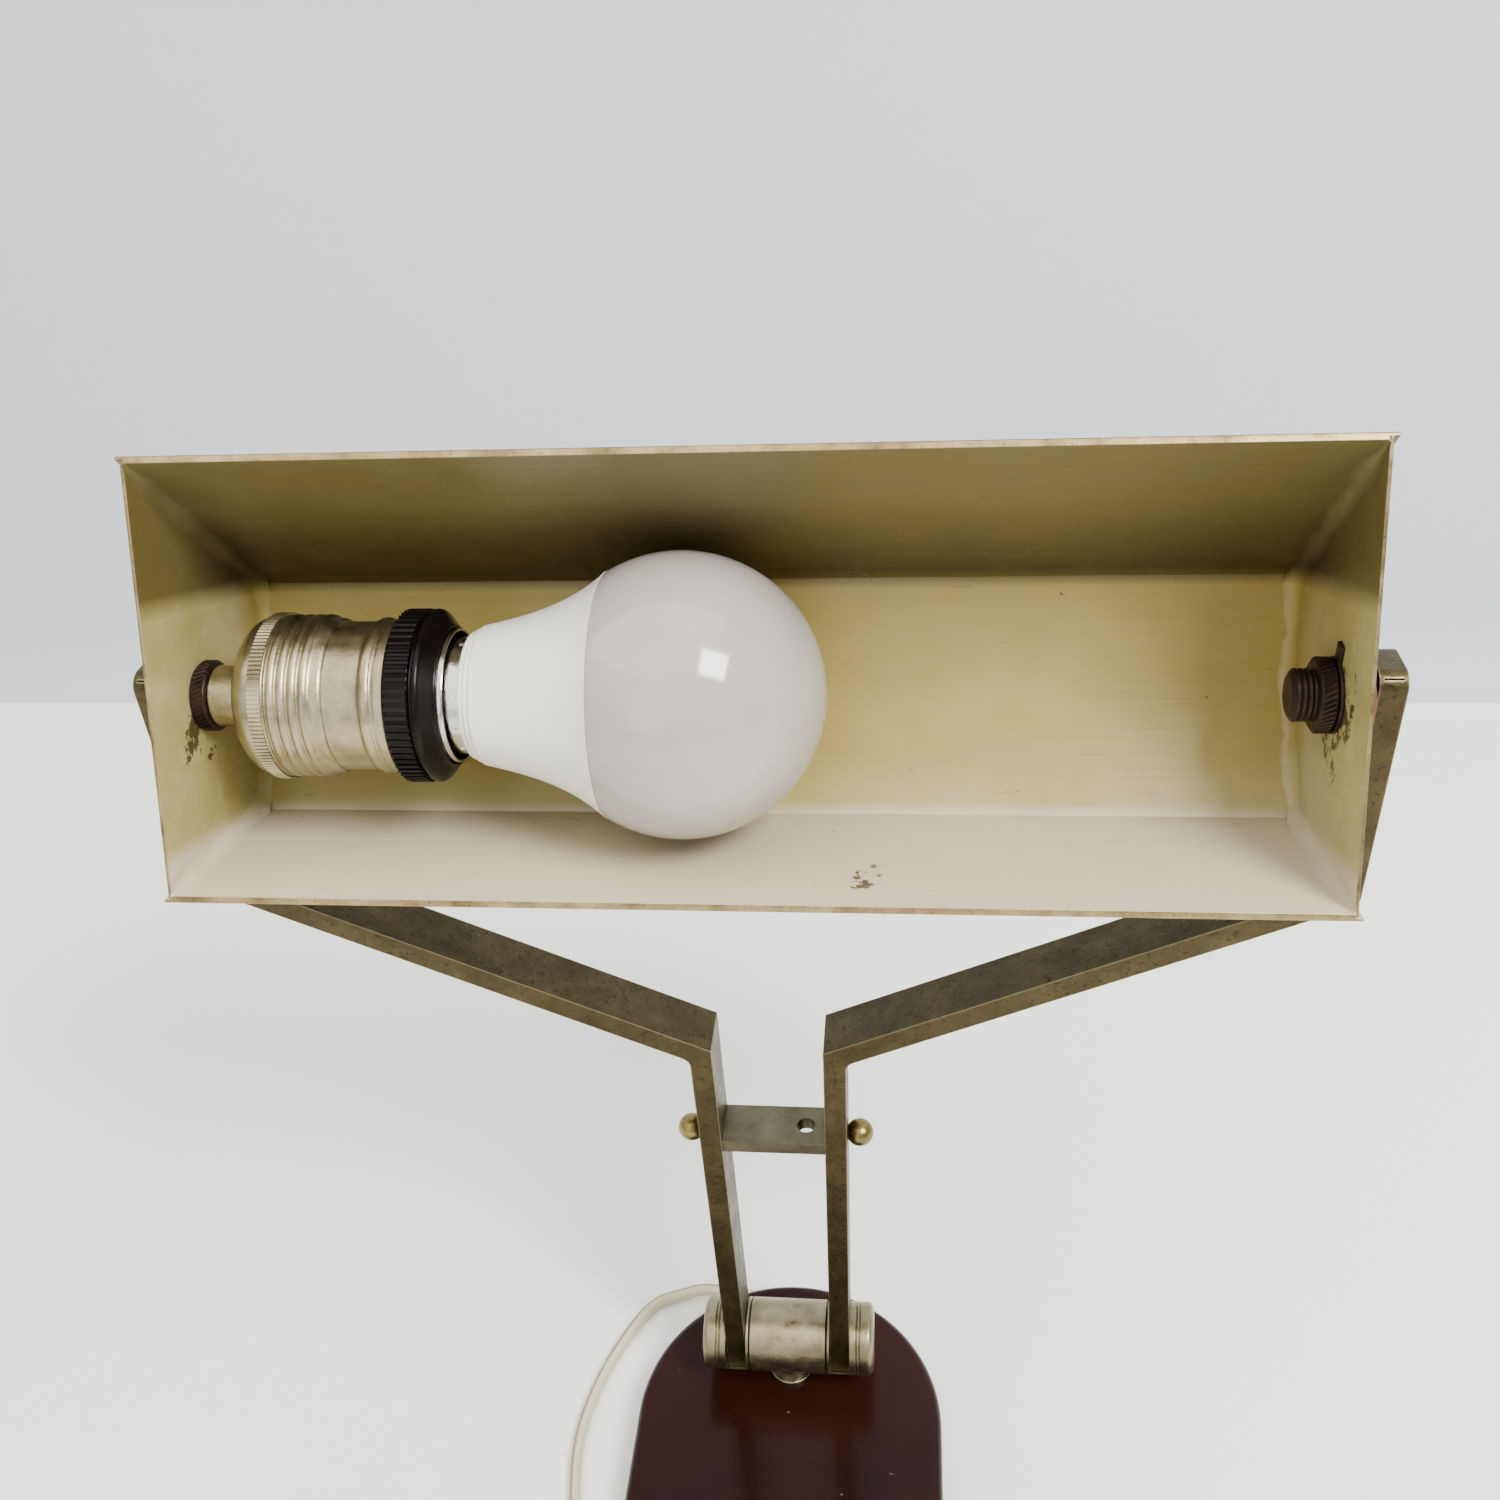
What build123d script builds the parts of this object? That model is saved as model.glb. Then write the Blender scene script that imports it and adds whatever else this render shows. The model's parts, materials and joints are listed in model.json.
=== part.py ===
from build123d import *
from math import atan2, cos, degrees, hypot, pi, radians, sin, sqrt, tan
import os

# Architect desk lamp, millimetres. +Z up, -Y is the front, +X is to the right seen from the front.
# The origin is the middle of the base's underside. The lamp is modelled with its arms upright
# and its shade turned up.

# ---- base ----
base_length = 150.0
base_width = 88.0
base_height = 14.0
base_edge_radius = 3.5
base_top_plate = 6.0
base_wall = 6.0
felt_thickness = 1.0
felt_inset = 2.0
cover_thickness = 1.2
cover_inset = 3.0
cover_gap = 0.3
cover_screw_diameter = 3.0
cover_screw_length = 5.5
cover_boss_diameter = 7.0
cover_screw_setback = 16.0
hinge_setback = 29.0

# ---- swivel post and hinge barrel ----
barrel_diameter = 20.0
barrel_length = 49.0
barrel_centre_length = 21.5
barrel_gap = 5.6
barrel_end_rounding = 3.0
post_diameter = 11.0
post_neck_diameter = 9.4
post_stud_diameter = 8.0
post_bore_diameter = 4.4
post_washer_diameter = 12.6
post_washer_thickness = 1.4
spring_washer_thickness = 0.8
post_nut_thickness = 3.6
post_nut_width = 13.0
post_stud_tail = 0.4
axle_diameter = 6.0
axle_bore_diameter = 3.6
axle_length = 42.0
friction_washer_thickness = 0.4
friction_washer_diameter = 18.0

# ---- arms ----
arm_thickness = 5.5
arm_width = 13.5
arm_wall = 0.9
arm_foot = 6.0
arm_foot_gap = 0.85
arm_shank_splay = 1.5
arm_bend_height = 118.5
arm_spread_angle = 25.4
arm_end_gap = 4.4
arm_tip = 8.1
arm_bend_rounding = 3.0
arm_tip_rounding = 3.5
pivot_height = 219.1
crossbar_height = 87.6
crossbar_width = 12.4
crossbar_thickness = 3.8
crossbar_hole_diameter = 4.6
crossbar_hole_x = 8.0
ball_diameter = 7.0
ball_seat = 0.4
ball_shank_diameter = 2.6
ball_thread_depth = 6.0

# ---- shade ----
shade_length = 235.0
shade_sheet = 0.8
shade_tilt = 21.1
rim_depth = 22.9
lower_rim = 37.8
lower_shoulder = (-31.0, 20.5)
ridge = (-4.8, 32.0)
upper_shoulder = (20.8, 31.5)
upper_rim = 49.8
hem_height = 4.5
hem_overhang = 1.0

# ---- pivots ----
pivot_diameter = 8.8
nipple_bore_diameter = 5.6
pivot_nut_diameter = 15.5
pivot_nut_thickness = 3.6
lug_washer_thickness = 0.8
lug_width = 3.0
lug_reach = 11.5
spacer_diameter = 16.0
fibre_washer_thickness = 0.8
arm_nut_diameter = 11.2
arm_nut_thickness = 1.8
stud_inner_length = 3.5

# ---- lampholder and bulb ----
collar_diameter = 13.2
collar_length = 10.6
holder_diameter = 31.6
holder_wall = 0.8
holder_ring_diameter = 37.2
knurl_diameter = 36.0
knurl_start = 3.3
knurl_length = 15.0
holder_length = 34.4
black_ring_length = 10.6
black_ring_overlap = 3.0
insulator_diameter = 27.0
insulator_length = 11.0
screw_shell_diameter = 27.6
screw_shell_length = 22.0
screw_shell_sheet = 0.5
bulb_diameter = 60.0
bulb_centre_reach = 45.7
bulb_cap_diameter = 25.8
bulb_cap_length = 24.0
bulb_neck_reach = 2.5
bulb_neck_diameter = 30.0
bulb_seam_reach = 30.7
bulb_contact_diameter = 9.0
bulb_contact_length = 3.2
globe_wall = 1.2
led_board_diameter = 40.0
led_board_thickness = 1.6

# ---- cord ----
cord_diameter = 3.6
lead_diameter = 2.6
arm_lead_offset = 3.4
bushing_root = (-11.0, 5.2)
bushing_direction = (-0.955, 0.27, -0.06)
bushing_length = 12.0
bushing_root_diameter = 6.0
bushing_tip_diameter = 4.6
bushing_seat = 9.0
wireway_depth = 23.0
coil_place = (-41.3, -125.0)
coil_mean_radius = 20.8
coil_columns = 3
coil_layers = 4
coil_last_turn = 0.25
tie_width = 7.0
tie_thickness = 1.0
plug_length = 32.0
plug_width = 26.0
plug_thickness = 13.6
pin_diameter = 4.0
pin_length = 19.0
pin_spacing = 18.6

# ---- fits ----
running_fit = 0.05
seat_fit = 0.02

# ---- places that follow from the sizes ----
hinge_y = base_length / 2 - hinge_setback
hinge_z = base_height + barrel_gap + barrel_diameter / 2
pivot_z = hinge_z + pivot_height
shade_half = shade_length / 2
arm_end_x = shade_half + shade_sheet + arm_end_gap + fibre_washer_thickness + arm_thickness
arm_cavity_x = arm_end_x - arm_thickness + arm_wall
washer_end_x = barrel_centre_length / 2 + friction_washer_thickness
arm_foot_x = washer_end_x + arm_foot_gap + arm_thickness
arm_bend_x = arm_foot_x + arm_shank_splay
round_y = base_length / 2 - base_width / 2
cavity_top = base_height - base_top_plate
cavity_floor = felt_thickness + cover_thickness

# The cord's free stretch on the table, from the bushing's tip to the coil. These points are given
# from the base's rear left corner, so that the cord keeps clear of the base whatever its size.
cord_route = [
    (14.1, 3.94, 3.8),
    (6.2, 2.1, 2.3),
    (-2.7, -0.9, 1.8),
    (-9.1, -12.3, 1.8),
    (-15.2, -27.5, 1.8),
    (-18.8, -46.0, 1.8),
    (-17.2, -63.0, 1.8),
    (-13.0, -80.0, 1.8),
    (-14.2, -100.0, 1.8),
    (-16.9, -118.0, 1.8),
]

# The cord's last stretch, from the coil's top layer down to the plug, from the same corner.
tail_route = [
    (-42.8, -149.4, 12.6),
    (-55.5, -150.0, 9.6),
    (-67.5, -146.5, 4.6),
    (-76.5, -137.5, 3.6),
    (-79.5, -126.0, 6.8),
]


def export(name, solid):
    export_step(solid, os.path.join("parts", name + ".step"))


def rod_x(diameter, x0, x1, y=hinge_y, z=pivot_z):
    """A cylinder along X from x0 to x1."""
    length = abs(x1 - x0)
    return Pos((x0 + x1) / 2, y, z) * Rot(0, 90, 0) * Cylinder(diameter / 2, length)


def tube_x(outer, inner, x0, x1, y=hinge_y, z=pivot_z):
    """A tube along X from x0 to x1."""
    return rod_x(outer, x0, x1, y, z) - rod_x(inner, x0, x1, y, z)


def mirrored(solid):
    return mirror(solid, about=Plane.YZ)


def pair(solid):
    """The solid and its mirror image in one group."""
    return Compound(children=[solid, mirrored(solid)])


def offset_path(points, distance):
    """The open path moved sideways (to its left) by distance, with mitred corners."""
    moved = []
    last = len(points) - 1
    for i, (x, y) in enumerate(points):
        before = points[max(i - 1, 0)]
        after = points[min(i + 1, last)]
        normals = []
        for a, b in ((before, (x, y)), ((x, y), after)):
            run = hypot(b[0] - a[0], b[1] - a[1])
            if run > 0:
                normals.append((-(b[1] - a[1]) / run, (b[0] - a[0]) / run))
        nx = sum(n[0] for n in normals) / len(normals)
        ny = sum(n[1] for n in normals) / len(normals)
        scale = distance / (nx * nx + ny * ny)
        moved.append((x + nx * scale, y + ny * scale))
    return moved


def strip(points, near, far):
    """The closed outline between two sideways offsets of an open path."""
    return offset_path(points, near) + offset_path(points, far)[::-1]


def base_plan(inset=0.0):
    """The base's outline seen from above, moved inwards by inset."""
    return Rot(0, 0, 90) * SlotOverall(base_length - 2 * inset, base_width - 2 * inset)


def make_base():
    plate = extrude(base_plan(), base_height - felt_thickness)
    plate = Pos(0, 0, felt_thickness) * plate
    plate = fillet(plate.faces().sort_by(Axis.Z)[-1].edges(), base_edge_radius)
    cavity = Pos(0, 0, felt_thickness) * extrude(base_plan(base_wall), cavity_top - felt_thickness)
    rebate = Pos(0, 0, felt_thickness) * extrude(base_plan(cover_inset), cover_thickness)
    post_hole = Pos(0, hinge_y, base_height / 2) * Cylinder(
        post_stud_diameter / 2 + running_fit, base_height)
    casting = plate - cavity - rebate - post_hole
    boss_height = cavity_top - cavity_floor
    for x, y in cover_screw_places():
        boss = Pos(x, y, cavity_floor + boss_height / 2) * Cylinder(
            cover_boss_diameter / 2, boss_height)
        hole = Pos(x, y, cavity_floor + boss_height / 2) * Cylinder(
            cover_screw_diameter / 2, boss_height)
        casting = casting + boss - hole
    root, direction = bushing_frame()
    wireway = Plane(origin=root, z_dir=direction) * Cylinder(
        bushing_root_diameter / 2, 2 * wireway_depth)
    casting = casting - wireway
    cover = Pos(0, 0, felt_thickness) * extrude(
        base_plan(cover_inset + cover_gap), cover_thickness)
    for x, y in cover_screw_places():
        cover = cover - Pos(x, y, felt_thickness) * Cylinder(
            cover_screw_diameter / 2 + seat_fit, 3 * cover_thickness)
    felt = extrude(base_plan(felt_inset), felt_thickness)
    export("base_casting", casting)
    export("base_cover", cover)
    export("felt_pad", felt)
    screws = []
    for x, y in cover_screw_places():
        screws.append(Pos(x, y, felt_thickness + cover_screw_length / 2) * Cylinder(
            cover_screw_diameter / 2, cover_screw_length))
    export("cover_screws", Compound(children=screws))


def cover_screw_places():
    """Three places near the base's edge: two at the front and one at the rear."""
    front = -base_length / 2 + cover_screw_setback
    rear = base_length / 2 - cover_screw_setback
    side = base_width / 4
    return [(-side, front), (side, front), (-side / 2, rear)]


def bushing_frame():
    """Where the cord's bushing leaves the base's rounded rear wall, and its direction."""
    x, z = bushing_root
    y = round_y + sqrt((base_width / 2) ** 2 - x * x)
    return Vector(x, y, z), Vector(*bushing_direction).normalized()


def make_swivel():
    washer_top = base_height + post_washer_thickness
    washer = Pos(0, hinge_y, base_height + post_washer_thickness / 2) * (
        Cylinder(post_washer_diameter / 2, post_washer_thickness)
        - Cylinder(post_stud_diameter / 2 + seat_fit, post_washer_thickness))
    washer = fillet(washer.edges().group_by(Axis.Z)[-1].sort_by(SortBy.RADIUS)[-1], 0.5)
    washer_bottom = cavity_top - spring_washer_thickness
    nut_bottom = washer_bottom - post_nut_thickness
    stud_bottom = nut_bottom - post_stud_tail
    dome_height = barrel_gap - post_washer_thickness
    profile = [
        (0, stud_bottom), (post_stud_diameter / 2, stud_bottom),
        (post_stud_diameter / 2, washer_top), (post_diameter / 2, washer_top),
        (post_neck_diameter / 2, washer_top + dome_height * 0.55),
        (post_neck_diameter / 2, hinge_z), (0, hinge_z),
    ]
    post = revolve(Plane.XZ * make_face(Polyline(profile, close=True)), Axis.Z)
    post = Pos(0, hinge_y, 0) * post
    post = post - rod_x(barrel_diameter, -barrel_length, barrel_length, z=hinge_z)
    spigot_top = hinge_z - axle_diameter / 2 - 1.0
    spigot_bottom = hinge_z - barrel_diameter / 2 - 1.0
    spigot = Pos(0, hinge_y, (spigot_top + spigot_bottom) / 2) * Cylinder(
        post_stud_diameter / 2 - 0.5, spigot_top - spigot_bottom)
    bore = Pos(0, hinge_y, (spigot_top + stud_bottom) / 2) * Cylinder(
        post_bore_diameter / 2, spigot_top - stud_bottom + 2)
    post = post + spigot - bore
    centre = rod_x(barrel_diameter, -barrel_centre_length / 2, barrel_centre_length / 2, z=hinge_z)
    centre = centre - rod_x(
        axle_diameter + 2 * running_fit, -barrel_length, barrel_length, z=hinge_z)
    centre = centre - Pos(0, hinge_y, hinge_z - barrel_diameter / 2) * Cylinder(
        post_stud_diameter / 2 - 0.5 + seat_fit, barrel_diameter)
    spring = Pos(0, hinge_y, cavity_top - spring_washer_thickness / 2) * (
        Cylinder(post_washer_diameter / 2, spring_washer_thickness)
        - Cylinder(post_stud_diameter / 2 + seat_fit, spring_washer_thickness))
    nut = extrude(RegularPolygon(post_nut_width / 2, 6, major_radius=False), post_nut_thickness)
    nut = Pos(0, hinge_y, nut_bottom) * nut
    nut = nut - Pos(0, hinge_y, nut_bottom) * Cylinder(
        post_stud_diameter / 2 + seat_fit, 3 * post_nut_thickness)
    lead_bottom = stud_bottom + 0.5
    lead_top = hinge_z - axle_diameter / 2 - 0.6
    lead = Pos(0, hinge_y, (lead_bottom + lead_top) / 2) * Cylinder(
        lead_diameter / 2, lead_top - lead_bottom)
    export("post_washer", washer)
    export("swivel_post", post)
    export("barrel_centre", centre)
    export("spring_washer", spring)
    export("post_nut", nut)
    export("post_lead", lead)


def arm_outline():
    """The right arm's outer face as (x, height over the hinge), from its foot to its tip."""
    rise = (arm_end_x - arm_bend_x) * tan(radians(arm_spread_angle))
    return [
        (arm_foot_x, -arm_foot),
        (arm_bend_x, arm_bend_height),
        (arm_end_x, arm_bend_height + rise),
        (arm_end_x, pivot_height + arm_tip),
    ]


def arm_bar(near, far, width, shorten):
    """A bar between two offsets of the right arm's outer face, shortened at both ends."""
    path = arm_outline()
    path[0] = (path[0][0], path[0][1] + shorten)
    path[-1] = (path[-1][0], path[-1][1] - shorten)
    plane = Plane(origin=(0, hinge_y, hinge_z), x_dir=(1, 0, 0), z_dir=(0, -1, 0))
    face = make_face(Polyline(strip(path, near, far), close=True))
    return plane * extrude(face, width / 2, both=True)


def make_arms():
    solid_bar = arm_bar(0, arm_thickness, arm_width, 0)
    cavity = arm_bar(arm_wall, arm_thickness - arm_wall, arm_width - 2 * arm_wall, arm_wall)
    bar = solid_bar
    lower_bend = bar.edges().filter_by(Axis.Y).sort_by_distance(
        (arm_bend_x, hinge_y, hinge_z + arm_bend_height))[0]
    bar = fillet(lower_bend, arm_bend_rounding)
    upper_bend = bar.edges().filter_by(Axis.Y).sort_by_distance(
        (arm_end_x, hinge_y, hinge_z + arm_outline()[2][1]))[0]
    bar = fillet(upper_bend, arm_bend_rounding)
    tip_edges = bar.faces().sort_by(Axis.Z)[-1].edges().filter_by(Axis.X)
    bar = fillet(tip_edges, arm_tip_rounding)
    bar = bar - cavity
    bar = bar - rod_x(axle_diameter + 2 * seat_fit, 0, barrel_length, z=hinge_z)
    bar = bar - rod_x(
        pivot_diameter + 2 * running_fit, arm_end_x - 2 * arm_thickness, arm_cavity_x + arm_wall)
    crossbar_z = hinge_z + crossbar_height
    bar = bar - rod_x(ball_shank_diameter + 2 * seat_fit, 0, barrel_length, z=crossbar_z)
    export("arm_right", bar)
    export("arm_left", mirrored(bar))

    end = rod_x(barrel_diameter, washer_end_x, barrel_length / 2, z=hinge_z)
    end = fillet(end.edges().sort_by(Axis.X)[-1], barrel_end_rounding)
    axle_end = axle_length / 2
    end = end - solid_bar - rod_x(axle_diameter + 2 * seat_fit, 0, axle_end, z=hinge_z)
    export("barrel_end_right", end)
    export("barrel_end_left", mirrored(end))

    axle = tube_x(axle_diameter, axle_bore_diameter, -axle_end, axle_end, z=hinge_z)
    window = Pos(-arm_foot_x + arm_thickness / 2, hinge_y, hinge_z + axle_diameter / 2) * Box(
        lead_diameter + 0.4, lead_diameter + 0.4, axle_diameter)
    axle = axle - window - mirrored(window)
    lead_window = Pos(0, hinge_y, hinge_z - axle_diameter / 2) * Box(
        post_bore_diameter + 6, axle_diameter - 1, axle_diameter)
    axle = axle - lead_window
    export("hinge_axle", axle)

    washer = tube_x(friction_washer_diameter, axle_diameter + 4 * running_fit,
                    barrel_centre_length / 2, washer_end_x, z=hinge_z)
    export("friction_washers", pair(washer))

    bar_length = 2 * arm_bend_x
    crossbar = Pos(0, hinge_y, crossbar_z) * Box(bar_length, crossbar_width, crossbar_thickness)
    crossbar = crossbar - solid_bar - mirrored(solid_bar)
    crossbar = crossbar.solids().sort_by_distance((0, hinge_y, crossbar_z))[0]
    crossbar = crossbar - Pos(crossbar_hole_x, hinge_y, crossbar_z) * Cylinder(
        crossbar_hole_diameter / 2, 2 * crossbar_thickness)
    face_x = arm_foot_x + (arm_bend_x - arm_foot_x) * (
        (crossbar_height + arm_foot) / (arm_bend_height + arm_foot))
    ball_x = face_x + ball_diameter / 2 - ball_seat
    shank_start = face_x - arm_thickness - ball_thread_depth
    thread = rod_x(ball_shank_diameter, shank_start, ball_x, z=crossbar_z)
    ball = Pos(ball_x, hinge_y, crossbar_z) * Sphere(ball_diameter / 2)
    screw = ball - solid_bar + thread
    hole = rod_x(ball_shank_diameter, shank_start, bar_length, z=crossbar_z)
    crossbar = crossbar - hole - mirrored(hole)
    export("crossbar", crossbar)
    export("ball_screws", pair(screw))

    lead_path = offset_path(arm_outline(), arm_thickness / 2)
    lead_path[0] = (lead_path[0][0], axle_diameter / 2 + 1.5)
    lead_path[-1] = (lead_path[-1][0], pivot_height - arm_nut_diameter / 2 - 0.8)
    lead_y = hinge_y + arm_lead_offset
    points = [(-x, lead_y, hinge_z + height) for x, height in lead_path]
    wire = FilletPolyline(*points, radius=lead_diameter / 2 + 0.3)
    export("arm_lead", sweep_round(wire, lead_diameter))


def sweep_round(wire, diameter):
    """A round tube's solid along a wire."""
    start = Plane(origin=wire @ 0, z_dir=wire % 0)
    return sweep(start * Circle(diameter / 2), path=wire)


def shade_plane(x):
    """The shade's section plane: its X runs along the mouth upwards, its Y out of the mouth."""
    tilt = radians(shade_tilt)
    return Plane(origin=(x, hinge_y, pivot_z), x_dir=(0, sin(tilt), cos(tilt)), z_dir=(1, 0, 0))


def shade_section():
    """The shade's inner faces, from its lower rim round to its upper rim."""
    return [
        (-lower_rim, rim_depth),
        (lower_shoulder[0], -lower_shoulder[1]),
        (ridge[0], -ridge[1]),
        (upper_shoulder[0], -upper_shoulder[1]),
        (upper_rim, rim_depth),
    ]


def section_bar(outline, x0, x1):
    face = make_face(Polyline(outline, close=True))
    return shade_plane(x0) * extrude(face, x1 - x0)


def hem_path(section):
    """The first hem_height of a wall, from its rim inwards."""
    (x0, y0), (x1, y1) = section
    run = hypot(x1 - x0, y1 - y0)
    return [(x0, y0), (x0 + (x1 - x0) * hem_height / run, y0 + (y1 - y0) * hem_height / run)]


def make_shade():
    section = shade_section()
    trough = section_bar(strip(section, 0, -shade_sheet), -shade_half, shade_half)
    hem_end = shade_half + shade_sheet + hem_overhang
    lower = hem_path(section[:2])
    upper = hem_path(section[:-3:-1])
    for path, side in ((lower, -1), (upper, 1)):
        outline = strip(path, side * shade_sheet, side * 2 * shade_sheet)
        trough = trough + section_bar(outline, -hem_end, hem_end)
    export("shade_trough", trough)
    outer = offset_path(section, -shade_sheet)
    plate = section_bar(outer, shade_half, shade_half + shade_sheet)
    plate = plate - rod_x(pivot_diameter + 2 * seat_fit, 0, 2 * shade_half)
    export("end_plate_right", plate)
    export("end_plate_left", mirrored(plate))


def make_pivots():
    plate_x = shade_half + shade_sheet
    spacer_end = plate_x + arm_end_gap
    bore = pivot_diameter + 2 * seat_fit
    spacer = tube_x(spacer_diameter, bore, plate_x, spacer_end)
    export("pivot_spacers", pair(spacer))
    fibre = tube_x(spacer_diameter, bore, spacer_end, spacer_end + fibre_washer_thickness)
    export("fibre_washers", pair(fibre))
    stud_end = arm_cavity_x + arm_nut_thickness
    export("arm_nuts", pair(tube_x(arm_nut_diameter, bore, arm_cavity_x, stud_end)))

    nut_face = shade_half - pivot_nut_thickness
    nut = tube_x(pivot_nut_diameter, bore, nut_face, shade_half)
    nut = chamfer(nut.edges().sort_by(Axis.X).group_by(Axis.X)[0].sort_by(SortBy.RADIUS)[-1], 0.5)
    export("nut_left", mirrored(nut))
    lug = tube_x(pivot_nut_diameter, bore, shade_half - lug_washer_thickness, shade_half)
    tab = Pos(shade_half - lug_washer_thickness / 2, hinge_y, pivot_z + lug_reach / 2 + 3) * Box(
        lug_washer_thickness, lug_width, lug_reach - 6)
    export("lug_washer", lug + tab)
    export("nut_right", Pos(-lug_washer_thickness, 0, 0) * nut)

    stud_start = nut_face - lug_washer_thickness - stud_inner_length
    export("stud_right", rod_x(pivot_diameter, stud_start, stud_end))
    collar_end = shade_half - pivot_nut_thickness - collar_length
    nipple = tube_x(pivot_diameter, nipple_bore_diameter, collar_end, stud_end)
    export("nipple_left", mirrored(nipple))


def make_lampholder():
    back = -(shade_half - pivot_nut_thickness)
    dome = back + collar_length
    bore = pivot_diameter + 2 * seat_fit
    collar = tube_x(collar_diameter, bore, back, dome)
    knurl_x = dome + knurl_start
    ring_end = knurl_x + knurl_length
    cap = rod_x(knurl_diameter - 2.0, dome, knurl_x + 0.4 * knurl_length)
    cap = fillet(cap.edges().sort_by(Axis.X)[0], 3.0)
    hollow = rod_x(holder_diameter - 2 * holder_wall, dome + 1.0, ring_end)
    cap = cap - hollow - rod_x(bore, 2 * back, 0)
    export("holder_cap", collar + cap)
    cap_outer = knurl_diameter - 2.0 + 2 * seat_fit
    knurl = tube_x(knurl_diameter, holder_diameter + 2 * seat_fit, knurl_x, ring_end)
    knurl = knurl - rod_x(cap_outer, back, knurl_x + 0.4 * knurl_length)
    export("knurled_ring", knurl)
    shell_start = knurl_x + 0.4 * knurl_length
    shell_end = dome + holder_length
    shell = tube_x(holder_diameter, holder_diameter - 2 * holder_wall, shell_start, shell_end)
    export("holder_shell", shell)
    black_start = shell_end - black_ring_overlap
    black_end = black_start + black_ring_length
    screw_outer = screw_shell_diameter + 2 * screw_shell_sheet
    black = tube_x(holder_ring_diameter, holder_diameter + 2 * seat_fit, black_start, shell_end)
    lip = tube_x(holder_ring_diameter, screw_outer + 2 * seat_fit, shell_end, black_end)
    lip = chamfer(lip.edges().group_by(Axis.X)[-1].sort_by(SortBy.RADIUS)[-1], 2.5)
    export("bakelite_ring", black + lip)
    insulator_start = dome + 2.6
    insulator_end = insulator_start + insulator_length
    insulator = tube_x(insulator_diameter, 4.0, insulator_start, insulator_end)
    terminals = rod_x(4.0, insulator_start - 1, insulator_start + 4, y=hinge_y + 8)
    insulator = insulator - terminals - mirror(terminals, about=Plane.XZ.offset(-hinge_y))
    export("porcelain_insulator", insulator)
    screw_start = insulator_end
    screw_end = black_end - 1.0
    screw = tube_x(screw_outer, screw_shell_diameter, screw_start, screw_end)
    export("screw_shell", screw)
    blade = Pos(insulator_end + 0.3, hinge_y, pivot_z) * Box(0.6, 6.0, 16.0)
    tongue = Pos(insulator_end + 1.1, hinge_y, pivot_z) * Box(1.0, 5.0, 6.0)
    export("centre_contact", blade + tongue)
    terminal = rod_x(4.0 - 2 * seat_fit, insulator_start - 1, insulator_start + 4, y=hinge_y + 8)
    other = mirror(terminal, about=Plane.XZ.offset(-hinge_y))
    export("terminal_screws", Compound(children=[terminal, other]))
    lead_start = -(arm_cavity_x + arm_nut_thickness)
    export("holder_lead", rod_x(lead_diameter, lead_start, insulator_start - 0.5))


def make_bulb():
    shell_end = collar_length + holder_length - shade_half + pivot_nut_thickness
    bulb_neck_x = shell_end - black_ring_overlap + black_ring_length + bulb_neck_reach
    bulb_seam_x = bulb_neck_x + bulb_seam_reach
    bulb_centre = bulb_neck_x + bulb_centre_reach
    cap_start = bulb_neck_x - bulb_cap_length
    cap = tube_x(bulb_cap_diameter, bulb_cap_diameter - 1.0, cap_start, bulb_neck_x)
    export("bulb_cap", cap)
    contact = rod_x(bulb_contact_diameter, cap_start - bulb_contact_length, cap_start)
    collar = rod_x(bulb_cap_diameter - 1.0, cap_start, cap_start + 2.0)
    export("bulb_contact", contact + collar)
    seam_radius = sqrt((bulb_diameter / 2) ** 2 - (bulb_seam_x - bulb_centre) ** 2)
    body_profile = [
        (bulb_neck_x, 0), (bulb_neck_x, bulb_neck_diameter / 2),
    ]
    body_curve = Spline(
        (bulb_neck_x, bulb_neck_diameter / 2),
        (bulb_seam_x, seam_radius),
        tangents=[(1, 0.25), (1, (bulb_centre - bulb_seam_x) / seam_radius)],
    )
    body_lines = Polyline(body_profile) + body_curve + Polyline(
        [(bulb_seam_x, seam_radius), (bulb_seam_x, 0), (bulb_neck_x, 0)])
    body = revolve(make_face(body_lines), Axis.X)
    spigot = rod_x(bulb_cap_diameter - 1.0 - 0.02, bulb_neck_x - 8, bulb_neck_x, y=0, z=0)
    body = body + spigot
    pocket = rod_x(14.0, bulb_neck_x - 6, bulb_seam_x - 4, y=0, z=0)
    export("bulb_body", Pos(0, hinge_y, pivot_z) * (body - pocket))
    outer = Pos(bulb_centre, 0, 0) * Sphere(bulb_diameter / 2)
    inner = Pos(bulb_centre, 0, 0) * Sphere(bulb_diameter / 2 - globe_wall)
    keep = Pos(bulb_seam_x + bulb_diameter, 0, 0) * Box(
        2 * bulb_diameter, 2 * bulb_diameter, 2 * bulb_diameter)
    globe = (outer - inner) & keep
    export("bulb_globe", Pos(0, hinge_y, pivot_z) * globe)
    board = rod_x(led_board_diameter, bulb_seam_x, bulb_seam_x + led_board_thickness)
    export("led_board", board)


def beside_base(points):
    """Points given from the base's rear left corner, moved to their places in the part's frame."""
    return [(x - base_width / 2, y + base_length / 2, z) for x, y, z in points]


def route_wire(points):
    """A route's runs joined by the largest tangent arcs, with the radius of each arc."""
    radii = []
    for before, here, after in zip(points, points[1:], points[2:]):
        first = Vector(*here) - Vector(*before)
        second = Vector(*after) - Vector(*here)
        turn = radians(first.get_angle(second))
        radii.append(0.45 * min(first.length, second.length) / tan(turn / 2))
    return FilletPolyline(*points, radius=radii), radii


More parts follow.
